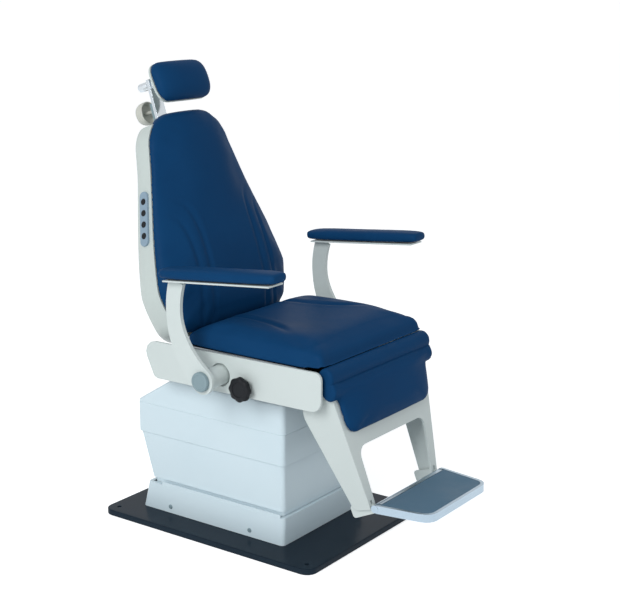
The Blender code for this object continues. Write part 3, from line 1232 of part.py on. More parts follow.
def make_arm(label, side):
    arm = frame_at("arm_frame_" + label, (0.0, ARM_PIVOT_Y, ARM_PIVOT_Z))
    pivot = Vector((ARM_PIVOT_Y, ARM_PIVOT_Z))
    near = []
    far = []
    steps = 14
    for step in range(steps + 1):
        share = step / steps
        here = post_centre(share) - pivot
        ahead = post_centre(min(1.0, share + 0.01)) - post_centre(max(0.0, share - 0.01))
        normal = Vector((-ahead.y, ahead.x)).normalized()
        half = POST_HALF_WIDTH + (POST_FOOT - POST_HALF_WIDTH) * max(0.0, share - 0.35) / 0.65
        near.append(here + normal * half)
        far.append(here - normal * half)
    start_angle = atan2(near[-1].y, near[-1].x)
    end = []
    for step in range(1, 10):
        a = start_angle + pi * step / 10.0
        end.append(Vector((POST_FOOT * cos(a), POST_FOOT * sin(a))))
    if end[4].dot(post_centre(0.95) - pivot) > 0.0:
        end = [Vector((POST_FOOT * cos(start_angle - pi * k / 10.0), POST_FOOT * sin(start_angle - pi * k / 10.0)))
               for k in range(1, 10)]
    outline = near + end + list(reversed(far))
    inner = ARM_X - POST_THICK / 2.0
    outer = ARM_X + POST_THICK / 2.0
    low, high = sorted((side * inner, side * outer))
    bracket = solid("armrest_bracket_" + label, prism(outline, "X", low, high), FRAME_WHITE, arm)
    bearing_end = SIDE_OUTER - SIDE_THICK - BEARING_LENGTH
    low, high = sorted((side * (bearing_end + 0.002), side * (inner + 0.002)))
    join(bracket, rod("X", (0.0, 0.0), BOSS_RADIUS, low, high), "boss")
    tilt = radians(PAD_TILT)
    centre = Vector((PAD_CENTRE_Y, PAD_CENTRE_Z)) - pivot
    along = Vector((-cos(tilt), sin(tilt)))
    up = Vector((sin(tilt), cos(tilt)))
    plate_top = centre - up * (PAD_THICK / 2.0 + FIT)
    half_l = PAD_PLATE_LENGTH / 2.0
    corners = [plate_top - along * half_l, plate_top + along * half_l,
               plate_top + along * half_l - up * PAD_PLATE_THICK, plate_top - along * half_l - up * PAD_PLATE_THICK]
    half_w = PAD_PLATE_WIDTH / 2.0
    low, high = sorted((side * (ARM_X - half_w), side * (ARM_X + half_w)))
    above = [point + up * PAD_PLATE_THICK / 2.0 for point in corners[2:]]
    above += [above[1] + up * PAD_THICK, above[0] + up * PAD_THICK]
    cut(bracket, prism(above, "X", low, high), "trim")
    join(bracket, prism(corners, "X", low, high), "pad_plate")
    low, high = sorted((side * (outer - PIN_LENGTH - FIT), side * (outer + CAP_THICK)))
    cut(bracket, rod("X", (0.0, 0.0), PIN_RADIUS + RUN, low, high), "pin_hole")
    head = outer + FIT
    profile = [(PIN_RADIUS, outer - PIN_LENGTH), (PIN_RADIUS, head), (CAP_RADIUS, head),
               (CAP_RADIUS, head + CAP_THICK * 0.7), (CAP_RADIUS * 0.85, head + CAP_THICK)]
    profile = [(radius, side * x) for radius, x in profile]
    solid("armrest_pin_" + label, turned(profile, "X", (0.0, 0.0)), GREY_PLASTIC, arm)

    rings = []
    count = 14
    for step in range(count + 1):
        t = step / count
        s = -cos(pi * t)
        end_round = superround(s, 6.0)
        half = PAD_WIDTH / 2.0 * (0.35 + 0.65 * end_round)
        thick = PAD_THICK / 2.0 * (0.40 + 0.60 * end_round)
        ring = []
        for k in range(16):
            a = 2.0 * pi * k / 16
            c = cos(a)
            d = sin(a)
            x = half * abs(c) ** 0.6 * (1.0 if c >= 0.0 else -1.0)
            lift = thick * abs(d) ** 0.6 * (1.0 if d >= 0.0 else -1.0)
            lift = max(lift, -PAD_THICK / 2.0)
            flat = centre + along * (s * PAD_LENGTH / 2.0) + up * lift
            ring.append((side * ARM_X + x, flat.x, flat.y))
        rings.append(ring)
    solid("armrest_pad_" + label, stacked(rings), NAVY_VINYL, arm)


def main():
    make_base()
    make_skirt()
    make_lift()
    make_seat_frame()
    make_brake()
    make_seat_cushion()
    back = frame_at("back_frame_joint", (0.0, BACK_PIVOT_Y, BACK_PIVOT_Z), BACK_LEAN)
    leg = frame_at("leg_frame_joint", (0.0, LEG_PIVOT_Y, LEG_PIVOT_Z), LEG_LEAN)
    back_pin = crank_pin(BACK_PIVOT_Y, BACK_PIVOT_Z)
    leg_pin = crank_pin(LEG_PIVOT_Y, LEG_PIVOT_Z)
    make_crank("back_crank", back, into_frame(*back_pin, BACK_PIVOT_Y, BACK_PIVOT_Z, BACK_LEAN), 0.200,
               CRANK_X, ACTUATOR_X - YOKE_THICK / 2.0 - 0.002, LINK_X + LINK_THICK / 2.0 + 0.002)
    make_crank("legrest_crank", leg, into_frame(*leg_pin, LEG_PIVOT_Y, LEG_PIVOT_Z, LEG_LEAN), 0.200,
               LINK_X + 0.014, LINK_X - LINK_THICK / 2.0 - 0.002, LINK_X + 0.016)
    make_link(back_pin, leg_pin)
    make_recline_actuator(back_pin)
    make_back_shell(back)
    make_back_frame(back)
    make_back_cushion(back)
    make_controls(back)
    make_headrest(back)
    make_legrest(leg)
    make_foot(leg)
    for label, side in SIDES.items():
        make_arm(label, side)


main()
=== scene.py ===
# %% [markdown]
# # Dressing an examination chair
# The solid model already has every bracket, tube, knob and cushion at its real size. In this
# lesson we give it its looks: soft navy vinyl cushions, glossy white panels, dark steel, chrome
# and rubber. New pieces are surfaces worked out with whole arrays, and every finish is made from
# noise and arithmetic, so no picture is needed.

# %% Load the frame
import json
from math import cos, pi, radians, sin

import bmesh
import bpy
import numpy as np
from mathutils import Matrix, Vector


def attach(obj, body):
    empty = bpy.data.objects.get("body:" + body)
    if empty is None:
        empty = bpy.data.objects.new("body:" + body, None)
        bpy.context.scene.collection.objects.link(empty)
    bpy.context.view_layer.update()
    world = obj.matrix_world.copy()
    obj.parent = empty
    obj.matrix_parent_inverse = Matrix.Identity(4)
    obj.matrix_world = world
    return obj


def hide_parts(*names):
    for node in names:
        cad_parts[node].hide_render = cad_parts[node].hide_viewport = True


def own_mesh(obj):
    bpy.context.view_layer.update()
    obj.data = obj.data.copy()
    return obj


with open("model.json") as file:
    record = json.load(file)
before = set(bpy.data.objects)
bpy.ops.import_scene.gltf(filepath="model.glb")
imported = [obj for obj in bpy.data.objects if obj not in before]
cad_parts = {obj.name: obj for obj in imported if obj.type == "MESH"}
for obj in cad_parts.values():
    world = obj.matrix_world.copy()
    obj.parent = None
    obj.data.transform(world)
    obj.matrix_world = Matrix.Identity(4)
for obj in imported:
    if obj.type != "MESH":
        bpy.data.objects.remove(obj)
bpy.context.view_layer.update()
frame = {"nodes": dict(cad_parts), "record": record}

nodes = frame["nodes"]
print("loaded", len(nodes), "solid pieces")

# %% [markdown]
# ## Places on the chair
# Each group of the chair leans by its own angle about its own pivot. We describe a cushion in the
# plain upright frame of its group, where it is easy to think about, and then turn it into place.
# The depth axis points out of the cushion, towards the person.

# %% Frames of the leaning groups
BACK_PIVOT = np.array([0.0, 0.120, 0.500])
LEG_PIVOT = np.array([0.0, -0.347, 0.492])
BACK_LEAN = radians(17.5)
LEG_LEAN = radians(15.5)
HEAD_LEAN = radians(7.0)
HEAD_AT = (-0.046, 0.709)
SIDES = {"left": 1.0, "right": -1.0}


def lean(points, angle, origin):
    """Tip points about the X axis, tops backwards for a positive angle, then move them to origin."""
    y = points[..., 1] * cos(angle) + points[..., 2] * sin(angle)
    z = -points[..., 1] * sin(angle) + points[..., 2] * cos(angle)
    return np.stack([points[..., 0], y, z], axis=-1) + origin


def on_back(points):
    """From the upright frame of the back into place."""
    return lean(points, BACK_LEAN, BACK_PIVOT)


def on_legs(points):
    """From the upright frame of the legrest into place."""
    return lean(points, LEG_LEAN, LEG_PIVOT)


def on_head(points):
    """From the upright frame of the headrest, which leans on the back, into place."""
    return on_back(lean(points, HEAD_LEAN, np.array([0.0, *HEAD_AT])))


print("back pivot", BACK_PIVOT, "leg pivot", LEG_PIVOT)

# %% [markdown]
# ## Turning a grid of points into a piece
# Almost every piece below is a grid of points: rows run along it and columns run round it. The
# faces between neighbouring points follow from counting alone, so one helper makes them all.

# %% Mesh helpers
def grid_faces(rows, columns):
    """Quads between neighbours of a rows x columns grid, with the last column joined to the first."""
    index = np.arange(rows * columns).reshape(rows, columns)
    index = np.concatenate([index, index[:, :1]], axis=1)
    quads = np.stack([index[:-1, :-1], index[:-1, 1:], index[1:, 1:], index[1:, :-1]], axis=-1)
    return quads.reshape(-1, 4)


def skin(name, points, ring=False):
    """Closed piece over a grid of rings.

    Each row is one closed ring. The first and last ring are filled, or with ring the last one joins
    the first instead, as on a frame or a sleeve.
    """
    points = np.asarray(points, dtype=float)
    rows, columns = points.shape[:2]
    faces = (grid_faces(rows + int(ring), columns) % (rows * columns)).tolist()
    if not ring:
        faces.append(list(range(columns))[::-1])
        faces.append(list(range((rows - 1) * columns, rows * columns)))
    mesh = bpy.data.meshes.new(name)
    mesh.from_pydata(points.reshape(-1, 3).tolist(), [], faces)
    data = bmesh.new()
    data.from_mesh(mesh)
    bmesh.ops.recalc_face_normals(data, faces=data.faces)
    data.to_mesh(mesh)
    data.free()
    mesh.shade_smooth()
    made = bpy.data.objects.new(name, mesh)
    bpy.context.scene.collection.objects.link(made)
    return made


def power_round(value, power):
    """Height of a squared-off arch: 1 in the middle, 0 at value -1 and 1."""
    return np.maximum(0.0, 1.0 - np.abs(value) ** power) ** (1.0 / power)


def spread(count):
    """Shares from 0 to 1 that crowd together at both ends, where edges turn."""
    return 0.5 - 0.5 * np.cos(np.pi * np.arange(count) / (count - 1))


def rounded_plan(half, front, rear, radius, steps=8):
    """Outline of a rectangle with round corners, as (x, y) points in turn."""
    turn = np.linspace(0.0, pi / 2.0, steps)
    corner = np.stack([np.cos(turn), np.sin(turn)], axis=-1) * radius
    centres = [(half - radius, rear - radius), (-half + radius, rear - radius),
               (-half + radius, front + radius), (half - radius, front + radius)]
    parts = []
    for quarter, centre in enumerate(centres):
        angle = quarter * pi / 2.0
        spun = np.stack([corner[:, 0] * cos(angle) - corner[:, 1] * sin(angle),
                         corner[:, 0] * sin(angle) + corner[:, 1] * cos(angle)], axis=-1)
        parts.append(spun + centre)
    return np.concatenate(parts)


print("helpers ready")

# %% [markdown]
# ## Shared shader effects
# A finish is never one even colour. These node groups each give a height for the bump and a slow
# mottle for the colour and the gloss. They read Object coordinates, so the grain has its real size.

# %% Node groups
def effect_group(name, build):
    """A node group with two outputs: Height for bump, and Mottle from 0 to 1."""
    group = bpy.data.node_groups.new(name, "ShaderNodeTree")
    group.interface.new_socket("Height", in_out="OUTPUT", socket_type="NodeSocketFloat")
    group.interface.new_socket("Mottle", in_out="OUTPUT", socket_type="NodeSocketFloat")
    place = group.nodes.new("ShaderNodeTexCoord")
    end = group.nodes.new("NodeGroupOutput")
    height, mottle = build(group, place.outputs["Object"])
    group.links.new(height, end.inputs["Height"])
    group.links.new(mottle, end.inputs["Mottle"])
    return group


def noise(group, source, scale, detail, stretch=None):
    """Cloudy noise of the given scale, drawn out along an axis where stretch says so."""
    if stretch:
        mapping = group.nodes.new("ShaderNodeMapping")
        mapping.inputs["Scale"].default_value = stretch
        group.links.new(source, mapping.inputs["Vector"])
        source = mapping.outputs["Vector"]
    texture = group.nodes.new("ShaderNodeTexNoise")
    texture.inputs["Scale"].default_value = scale
    texture.inputs["Detail"].default_value = detail
    group.links.new(source, texture.inputs["Vector"])
    return texture.outputs["Fac"]


def blend_values(group, first, second, operation):
    """One arithmetic step on two values, each a number or a socket."""
    node = group.nodes.new("ShaderNodeMath")
    node.operation = operation
    for socket, value in zip(node.inputs, (first, second)):
        if isinstance(value, float):
            socket.default_value = value
        else:
            group.links.new(value, socket)
    return node.outputs[0]


def vinyl_build(group, source):
    """Leather-like cells of about 2 mm with a finer noise on top."""
    cells = group.nodes.new("ShaderNodeTexVoronoi")
    cells.inputs["Scale"].default_value = 520.0
    group.links.new(source, cells.inputs["Vector"])
    fine = noise(group, source, 900.0, 2.0)
    height = blend_values(group, cells.outputs["Distance"], fine, "ADD")
    return height, noise(group, source, 7.0, 3.0)


def paint_build(group, source):
    """The faint orange peel of sprayed paint and moulded plastic."""
    return noise(group, source, 240.0, 1.0), noise(group, source, 5.0, 4.0)


def metal_build(group, source):
    """Brushed lines along X."""
    lines = noise(group, source, 60.0, 3.0, (1.0, 18.0, 18.0))
    return lines, blend_values(group, lines, noise(group, source, 9.0, 2.0), "MULTIPLY")


def rubber_build(group, source):
    """Straight ribs that repeat along X, with a fine matt noise."""
    bands = group.nodes.new("ShaderNodeTexWave")
    bands.bands_direction = "X"
    bands.inputs["Scale"].default_value = 75.0
    bands.inputs["Distortion"].default_value = 0.2
    group.links.new(source, bands.inputs["Vector"])
    fine = noise(group, source, 700.0, 2.0)
    height = blend_values(group, bands.outputs["Fac"], blend_values(group, fine, 0.4, "MULTIPLY"), "ADD")
    return height, noise(group, source, 14.0, 3.0)


VINYL_GRAIN = effect_group("vinyl_grain", vinyl_build)
PAINT_PEEL = effect_group("paint_peel", paint_build)
METAL_GRAIN = effect_group("metal_grain", metal_build)
RUBBER_RIBS = effect_group("rubber_ribs", rubber_build)
print("shader groups", [g.name for g in bpy.data.node_groups])


# %% [markdown]
# ## The finishes
# Each finish runs between two close colours and two close levels of gloss, led by the mottle, with
# a faint bump from the height. Moulded covers lean to blue, and the painted frame leans to green.

# %% Materials
MOTTLE_LOW, MOTTLE_HIGH = 0.3, 0.7


def finish(name, effect, dark, light, gloss, metallic=0.0, shine=0.5, bump=0.15, depth=0.0003):
    """Principled material between two colours.

    gloss is the lowest and highest roughness, shine the specular level, and depth the height of
    the bump in metres.
    """
    made = bpy.data.materials.new(name)
    made.use_nodes = True
    tree = made.node_tree
    shader = tree.nodes["Principled BSDF"]
    shader.inputs["Metallic"].default_value = metallic
    shader.inputs["Specular IOR Level"].default_value = shine
    group = tree.nodes.new("ShaderNodeGroup")
    group.node_tree = effect
    tone = tree.nodes.new("ShaderNodeMix")
    tone.data_type = "RGBA"
    for socket in tone.inputs:
        if socket.type == "RGBA":
            socket.default_value = (*(dark if socket.name == "A" else light), 1.0)
    tree.links.new(group.outputs["Mottle"], tone.inputs["Factor"])
    colour = [socket for socket in tone.outputs if socket.type == "RGBA"][0]
    tree.links.new(colour, shader.inputs["Base Color"])
    rough = tree.nodes.new("ShaderNodeMapRange")
    rough.inputs["From Min"].default_value = MOTTLE_LOW
    rough.inputs["From Max"].default_value = MOTTLE_HIGH
    rough.inputs["To Min"].default_value = gloss[0]
    rough.inputs["To Max"].default_value = gloss[1]
    tree.links.new(group.outputs["Mottle"], rough.inputs["Value"])
    tree.links.new(rough.outputs["Result"], shader.inputs["Roughness"])
    dent = tree.nodes.new("ShaderNodeBump")
    dent.inputs["Strength"].default_value = bump
    dent.inputs["Distance"].default_value = depth
    tree.links.new(group.outputs["Height"], dent.inputs["Height"])
    tree.links.new(dent.outputs["Normal"], shader.inputs["Normal"])
    return made


FINISH_TABLE = {
    "navy_vinyl": (VINYL_GRAIN, (0.0034, 0.0360, 0.108), (0.0058, 0.0480, 0.136), (0.44, 0.54),
                   {"shine": 0.03, "bump": 0.20, "depth": 0.0004}),
    "frame_white": (PAINT_PEEL, (0.53, 0.59, 0.58), (0.58, 0.64, 0.63), (0.32, 0.40),
                    {"shine": 0.4, "bump": 0.05}),
    "shell_white": (PAINT_PEEL, (0.47, 0.53, 0.51), (0.52, 0.58, 0.56), (0.34, 0.42),
                    {"shine": 0.4, "bump": 0.05}),
    "cover_white": (PAINT_PEEL, (0.56, 0.68, 0.74), (0.62, 0.73, 0.78), (0.30, 0.38),
                    {"shine": 0.4, "bump": 0.05}),
    "slate_steel": (PAINT_PEEL, (0.010, 0.020, 0.032), (0.016, 0.028, 0.042), (0.18, 0.25),
                    {"shine": 0.05, "bump": 0.02}),
    "plain_steel": (METAL_GRAIN, (0.30, 0.31, 0.33), (0.48, 0.49, 0.50), (0.30, 0.48), {"metallic": 1.0}),
    "bright_chrome": (METAL_GRAIN, (0.55, 0.60, 0.64), (0.78, 0.82, 0.85), (0.08, 0.20),
                      {"metallic": 1.0, "bump": 0.03}),
    "aluminium": (METAL_GRAIN, (0.33, 0.42, 0.50), (0.52, 0.61, 0.68), (0.25, 0.42), {"metallic": 1.0}),
    "grey_rubber": (RUBBER_RIBS, (0.062, 0.130, 0.195), (0.085, 0.165, 0.240), (0.55, 0.75),
                    {"shine": 0.3, "bump": 0.25}),
    "black_plastic": (PAINT_PEEL, (0.007, 0.008, 0.010), (0.013, 0.015, 0.018), (0.40, 0.54),
                      {"shine": 0.14}),
    "ivory_plastic": (PAINT_PEEL, (0.48, 0.49, 0.44), (0.56, 0.57, 0.52), (0.34, 0.46), {}),
    "grey_plastic": (PAINT_PEEL, (0.17, 0.25, 0.28), (0.21, 0.29, 0.32), (0.40, 0.52), {}),
    "strip_plastic": (PAINT_PEEL, (0.19, 0.28, 0.36), (0.24, 0.33, 0.41), (0.38, 0.50), {}),
}
FINISHES = {name: finish(name, effect, dark, light, gloss, **more)
            for name, (effect, dark, light, gloss, more) in FINISH_TABLE.items()}
print("finishes", sorted(FINISHES))


def paint(piece, slot):
    """Give a piece the finish that is named after its slot."""
    piece.data.materials.clear()
    piece.data.materials.append(FINISHES[slot])


def stand_in(piece, node, slot, body, degrees=40.0):
    """Finish a new piece that takes the place of a solid and moves with its body."""
    piece.data.set_sharp_from_angle(angle=radians(degrees))
    paint(piece, slot)
    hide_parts(node)
    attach(piece, body)


# %% [markdown]
# ## Finishing the solid pieces
# Brackets, plates and tubes keep their solid shape. Real pressed and machined edges are never
# knife sharp, so on the metal, painted and hard plastic pieces we weld the triangles and roll a narrow
# bevel over the edges. The bevel catches a thin line of light, which is what tells the eye that a thing is
# made of metal.

# %% Finish and bevel the solid pieces
EDGE = {"frame_white": 0.0014, "cover_white": 0.0012, "slate_steel": 0.0012, "aluminium": 0.0015,
        "grey_rubber": 0.0006, "black_plastic": 0.0005, "plain_steel": 0.0006, "bright_chrome": 0.0005,
        "strip_plastic": 0.0008}
WELD_WITHIN, BEVEL_FROM, FACE_WEIGHT = 0.00002, radians(32), 100
SLOT_OF = {entry["node"]: entry["material_slot"] for entry in frame["record"]["subparts"]}
for node_name, piece in nodes.items():
    slot = SLOT_OF[node_name]
    paint(piece, slot)
    if slot in EDGE:
        weld = piece.modifiers.new("weld", "WELD")
        weld.merge_threshold = WELD_WITHIN
        bevel = piece.modifiers.new("edge", "BEVEL")
        bevel.width = EDGE[slot]
        bevel.segments = 2
        bevel.limit_method = "ANGLE"
        bevel.angle_limit = BEVEL_FROM
        piece.data.shade_smooth()
        level = piece.modifiers.new("flat", "WEIGHTED_NORMAL")
        level.weight = FACE_WEIGHT
print("solid pieces finished", len(nodes))


# %% [markdown]
# ## Cushions: first the cut shape
# A cushion starts as the foam block: a crowned pad on a flat board. Across it the height follows a
# squared-off arch, and along it another. Multiplying them gives full corners that still roll over.

# %% Cushion blanks
def pad_grid(half, low, high, crown, rows=40, columns=44):
    """Rings of (across, depth, along): the crowned front from edge to edge, then the flat back.

    half(t) is the half width and crown(u, t) the depth, for shares t along and u across.
    """
    t = spread(rows)[:, None]
    u = np.concatenate([2.0 * spread(columns) - 1.0, 1.0 - 2.0 * spread(columns)])[None, :]
    front = np.concatenate([np.ones(columns), np.zeros(columns)])[None, :]
    across = u * half(t)
    along = low + (high - low) * t + np.zeros_like(u)
    return np.stack([across, crown(u, t) * front, along], axis=-1)


BACK_LOW, BACK_HIGH, BACK_FACE, BACK_CORNER, BACK_WIDEST = 0.036, 0.630, -0.0337, 0.085, 0.165
BACK_HALF, BACK_FOOT_IN, BACK_TOP_IN = 0.262, 0.047, 0.120
BACK_EDGE, BACK_CROWN, BACK_LUMBAR = 0.007, 0.044, 0.010
WRAP_ROOT, WRAP_DEPTH, WRAP_SHARE = 0.004, 0.018, 0.985
SHELL_LOW, SHELL_HIGH = 0.020, 0.606


def back_outline(z, low):
    """Half width of the back at height z: widest at the lumbar, narrowing upwards, with round corners."""
    low_share = np.clip((BACK_WIDEST - z) / (BACK_WIDEST - BACK_LOW), 0.0, None)
    share = np.clip((z - BACK_WIDEST) / (BACK_HIGH - BACK_WIDEST), 0.0, None)
    sweep = 0.45 * (3.0 * share ** 2 - 2.0 * share ** 3) + 0.55 * share
    half = BACK_HALF - np.where(z < BACK_WIDEST, BACK_FOOT_IN * low_share ** 1.6, BACK_TOP_IN * sweep)
    top = np.clip(1.0 - (BACK_HIGH - z) / BACK_CORNER, 0.0, None)
    foot = np.clip(1.0 - (z - low) / (BACK_CORNER / 2.0), 0.0, None)
    half = half - BACK_CORNER * (1.0 - np.sqrt(np.clip(1.0 - top ** 2, 0.0, 1.0)))
    return half - BACK_CORNER / 2.0 * (1.0 - np.sqrt(np.clip(1.0 - foot ** 2, 0.0, 1.0)))


def back_half(t):
    """Half width of the back cushion at share t of its height."""
    return back_outline(BACK_LOW + (BACK_HIGH - BACK_LOW) * t, BACK_LOW)


def back_crown(u, t):
    """Fuller at the lumbar; the section goes from squared to barrel-shaped on the way up."""
    lumbar = BACK_LUMBAR * np.sin(pi * np.minimum(1.0, t / 0.65)) ** 2
    power = 3.0 - 0.8 * np.clip((t - 0.25) / 0.4, 0.0, 1.0)
    return BACK_EDGE + (BACK_CROWN + lumbar) * power_round(u, power) * power_round(2.0 * t - 1.0, 6.0)


def wrap_grid():
    """Lip that turns back over the shell's top: full depth at its foot, none at the top."""
    low, high = SHELL_HIGH + 0.001, BACK_HIGH - 0.002

    def half(t):
        return WRAP_SHARE * back_outline(low + (high - low) * t, BACK_LOW)

    def lip(u, t):
        return WRAP_ROOT + WRAP_DEPTH * power_round(u, 5.0) * power_round(t, 3.0)
    grid = pad_grid(half, low, high, lip, 14, 36)
    grid[..., 1] = WRAP_ROOT - grid[..., 1]
    return grid


LEG_LOW, LEG_HIGH, LEG_FACE, LEG_CORNER, LEG_TAPER = -0.138, 0.000, -0.0350, 0.032, 0.179
LEG_FOOT_HALF, LEG_WIDENS, LEG_FLARE, LEG_EDGE, LEG_CROWN = 0.188, 0.026, 0.008, 0.006, 0.018
ROLL_HALF, ROLL_DEEP, ROLL_Y, ROLL_END = 0.232, 0.0225, -0.0360, 0.84
COLLAR_TALL, COLLAR_Z = 0.0270, -0.0170
ROLL_TALL, ROLL_Z = 0.0260, 0.0160


def leg_half(t):
    """Half width of the leg pad: flared at the collar, narrowing downwards to round lower corners."""
    foot = np.clip(1.0 - t * (LEG_HIGH - LEG_LOW) / LEG_CORNER, 0.0, None)
    round_in = LEG_CORNER * (1.0 - np.sqrt(np.clip(1.0 - foot ** 2, 0.0, 1.0)))
    rise = t * (LEG_HIGH - LEG_LOW) / LEG_TAPER
    flare = np.clip((rise - 0.45) / 0.40, 0.0, 1.0)
    return LEG_FOOT_HALF + LEG_WIDENS * rise - round_in + LEG_FLARE * flare ** 2 * (3.0 - 2.0 * flare)


def leg_crown(u, t):
    """The lower end rolls over gently; the upper end stays full as far as the collar."""
    ends = np.where(t < 0.5, power_round(2.0 * t - 1.0, 4.0), power_round(2.0 * t - 1.0, 12.0))
    return LEG_EDGE + LEG_CROWN * power_round(u, 3.8) * ends


def roll_grid(tall, middle):
    """Bolster across the top of the leg frame: an oval ring along X, drawn in a little at both ends."""
    along = (2.0 * spread(44) - 1.0)[:, None]
    turn = np.linspace(0.0, 2.0 * pi, 36, endpoint=False)[None, :]
    full = ROLL_END + (1.0 - ROLL_END) * power_round(along, 16.0)
    y = ROLL_Y + ROLL_DEEP * full * np.cos(turn)
    z = middle + tall * full * np.sin(turn)
    return np.stack([along * ROLL_HALF + np.zeros_like(turn), y, z], axis=-1)


HEAD_FACE, HEAD_HALF, HEAD_WIDE, HEAD_EDGE, HEAD_CROWN = -0.0126, 0.055, 0.105, 0.009, 0.034


def head_half(t):
    """Half width of the headrest: a squared-off arch with round ends, a little wider at the top."""
    return HEAD_WIDE * (0.55 + 0.45 * power_round(2.0 * t - 1.0, 3.0)) * (0.97 + 0.03 * t)


def head_crown(u, t):
    """Depth of the headrest: nearly round both ways."""
    return HEAD_EDGE + HEAD_CROWN * power_round(u, 2.4) * power_round(2.0 * t - 1.0, 2.2)


def facing(grid, face):
    """Depth runs towards -Y from the face plane: (across, face - depth, along)."""
    return np.stack([grid[..., 0], face - grid[..., 1], grid[..., 2]], axis=-1)


SEAT_FRONT, SEAT_REAR, SEAT_FLOOR = -0.372, 0.072, 0.5353
SEAT_HALF, SEAT_END_IN = 0.243, 0.004
SEAT_EDGE, SEAT_CROWN, SEAT_RIM = 0.006, 0.050, 0.008


def seat_half(t):
    """Half width of the seat: straight sides, drawn in round both ends."""
    middle = 2.0 * t - 1.0
    return (SEAT_HALF * (0.84 + 0.16 * power_round(middle, 7.0))
            - SEAT_END_IN * (1.0 - power_round(middle, 2.0)))


def seat_crown(u, t):
    """Depth of the seat: squared off, higher along both sides than in the middle."""
    ends = np.where(t < 0.5, power_round(2.0 * t - 1.0, 5.0), power_round(2.0 * t - 1.0, 3.6))
    return SEAT_EDGE + (SEAT_CROWN + SEAT_RIM * np.abs(u) ** 3) * power_round(u, 6.0) * ends


def seat_grid():
    """The seat's pad laid flat: along runs towards the rear and depth runs up."""
    grid = pad_grid(seat_half, SEAT_FRONT, SEAT_REAR, seat_crown)
    return np.stack([grid[..., 0], grid[..., 2], SEAT_FLOOR + grid[..., 1]], axis=-1)


PAD_LENGTH, PAD_WIDTH, PAD_THICK, PAD_TILT = 0.378, 0.076, 0.031, radians(5.0)
PAD_CENTRE, PAD_ASIDE, PAD_SQUARE = np.array([0.0, -0.124, 0.761]), 0.319, 0.55
PAD_TRIM, PAD_TRIM_THICK = 0.003, 0.002


def arm_grid(side):
    """Long rounded bar: a squared-off ring, drawn in towards both ends, tilted up at the front."""
    along = (2.0 * spread(30) - 1.0)[:, None]
    turn = np.linspace(0.0, 2.0 * pi, 32, endpoint=False)[None, :]
    taper = power_round(along, 6.0)
    wide = (PAD_WIDTH / 2.0 - PAD_TRIM) * (0.35 + 0.65 * taper)
    thick = (PAD_THICK / 2.0 - PAD_TRIM_THICK) * (0.45 + 0.55 * taper)
    x = wide * np.sign(np.cos(turn)) * np.abs(np.cos(turn)) ** PAD_SQUARE
    rise = thick * np.sign(np.sin(turn)) * np.abs(np.sin(turn)) ** PAD_SQUARE
    reach = along * (PAD_LENGTH / 2.0 - PAD_TRIM) + np.zeros_like(turn)
    y = -reach * cos(PAD_TILT) + rise * sin(PAD_TILT)
    z = reach * sin(PAD_TILT) + rise * cos(PAD_TILT)
    return np.stack([x + side * PAD_ASIDE, y, z], axis=-1) + PAD_CENTRE


back_pad = on_back(facing(pad_grid(back_half, BACK_LOW, BACK_HIGH, back_crown), BACK_FACE))
back_lip = on_back(facing(wrap_grid(), BACK_FACE))
leg_pad = on_legs(facing(pad_grid(leg_half, LEG_LOW, LEG_HIGH, leg_crown, 56), LEG_FACE))
head_pad = on_head(facing(pad_grid(head_half, -HEAD_HALF, HEAD_HALF, head_crown), HEAD_FACE))
WIDE_VOXEL, SMALL_VOXEL = 0.006, 0.004
BLANKS = {
    "seat_cushion": ([seat_grid()], WIDE_VOXEL),
    "back_cushion": ([back_pad, back_lip], WIDE_VOXEL),
    "leg_cushion": ([leg_pad, on_legs(roll_grid(COLLAR_TALL, COLLAR_Z))], SMALL_VOXEL),
    "leg_roll": ([on_legs(roll_grid(ROLL_TALL, ROLL_Z))], SMALL_VOXEL),
    "headrest_cushion": ([head_pad], SMALL_VOXEL),
    "armrest_pad_left": ([arm_grid(SIDES["left"])], SMALL_VOXEL),
    "armrest_pad_right": ([arm_grid(SIDES["right"])], SMALL_VOXEL),
}
print("cushion blanks", {name: len(forms) for name, (forms, _) in BLANKS.items()})

# %% [markdown]
# ## Cushions: swelling the vinyl
# The cover is cut a little small and pulled over the foam, so the foam presses out against it.
# A cloth simulation with inside pressure does the same. Points on the board stay pinned, gravity
# is off, and no point may travel further than a cap, so the pad keeps its photographed outline.

# %% Swell the cushions
CAP = {"seat_cushion": 0.010, "back_cushion": 0.010, "leg_cushion": 0.006, "leg_roll": 0.002,
       "headrest_cushion": 0.006, "armrest_pad_left": 0.0025, "armrest_pad_right": 0.0025}
BOARD_REACH, PRESSURE, CLOTH_STEPS, EVEN_ROUNDS = 0.0045, 4.0, 20, 12


def board_depth(name, points):
    """How far points stand off the board that the cushion is pinned to."""
    if name == "seat_cushion":
        return points[:, 2] - SEAT_FLOOR
    if name.startswith("armrest"):
        level = points - PAD_CENTRE
        return level[:, 2] * cos(PAD_TILT) + level[:, 1] * sin(PAD_TILT) + PAD_THICK / 2.0
    angle, origin, face = BACK_LEAN, BACK_PIVOT, BACK_FACE
    if name in ("leg_cushion", "leg_roll"):
        angle, origin, face = LEG_LEAN, LEG_PIVOT, LEG_FACE
    local = lean(points - origin, -angle, np.zeros(3))
    if name == "headrest_cushion":
        local = lean(local - np.array([0.0, *HEAD_AT]), -HEAD_LEAN, np.zeros(3))
        face = HEAD_FACE
    return face - local[:, 1]


def points_of(mesh):
    """All of a mesh's points as one array."""
    flat = np.empty(len(mesh.vertices) * 3)
    mesh.vertices.foreach_get("co", flat)
    return flat.reshape(-1, 3)


def set_points(mesh, points):
    """Write an array of points back into a mesh."""
    mesh.vertices.foreach_set("co", np.ascontiguousarray(points, dtype=np.float32).ravel())
    mesh.update()


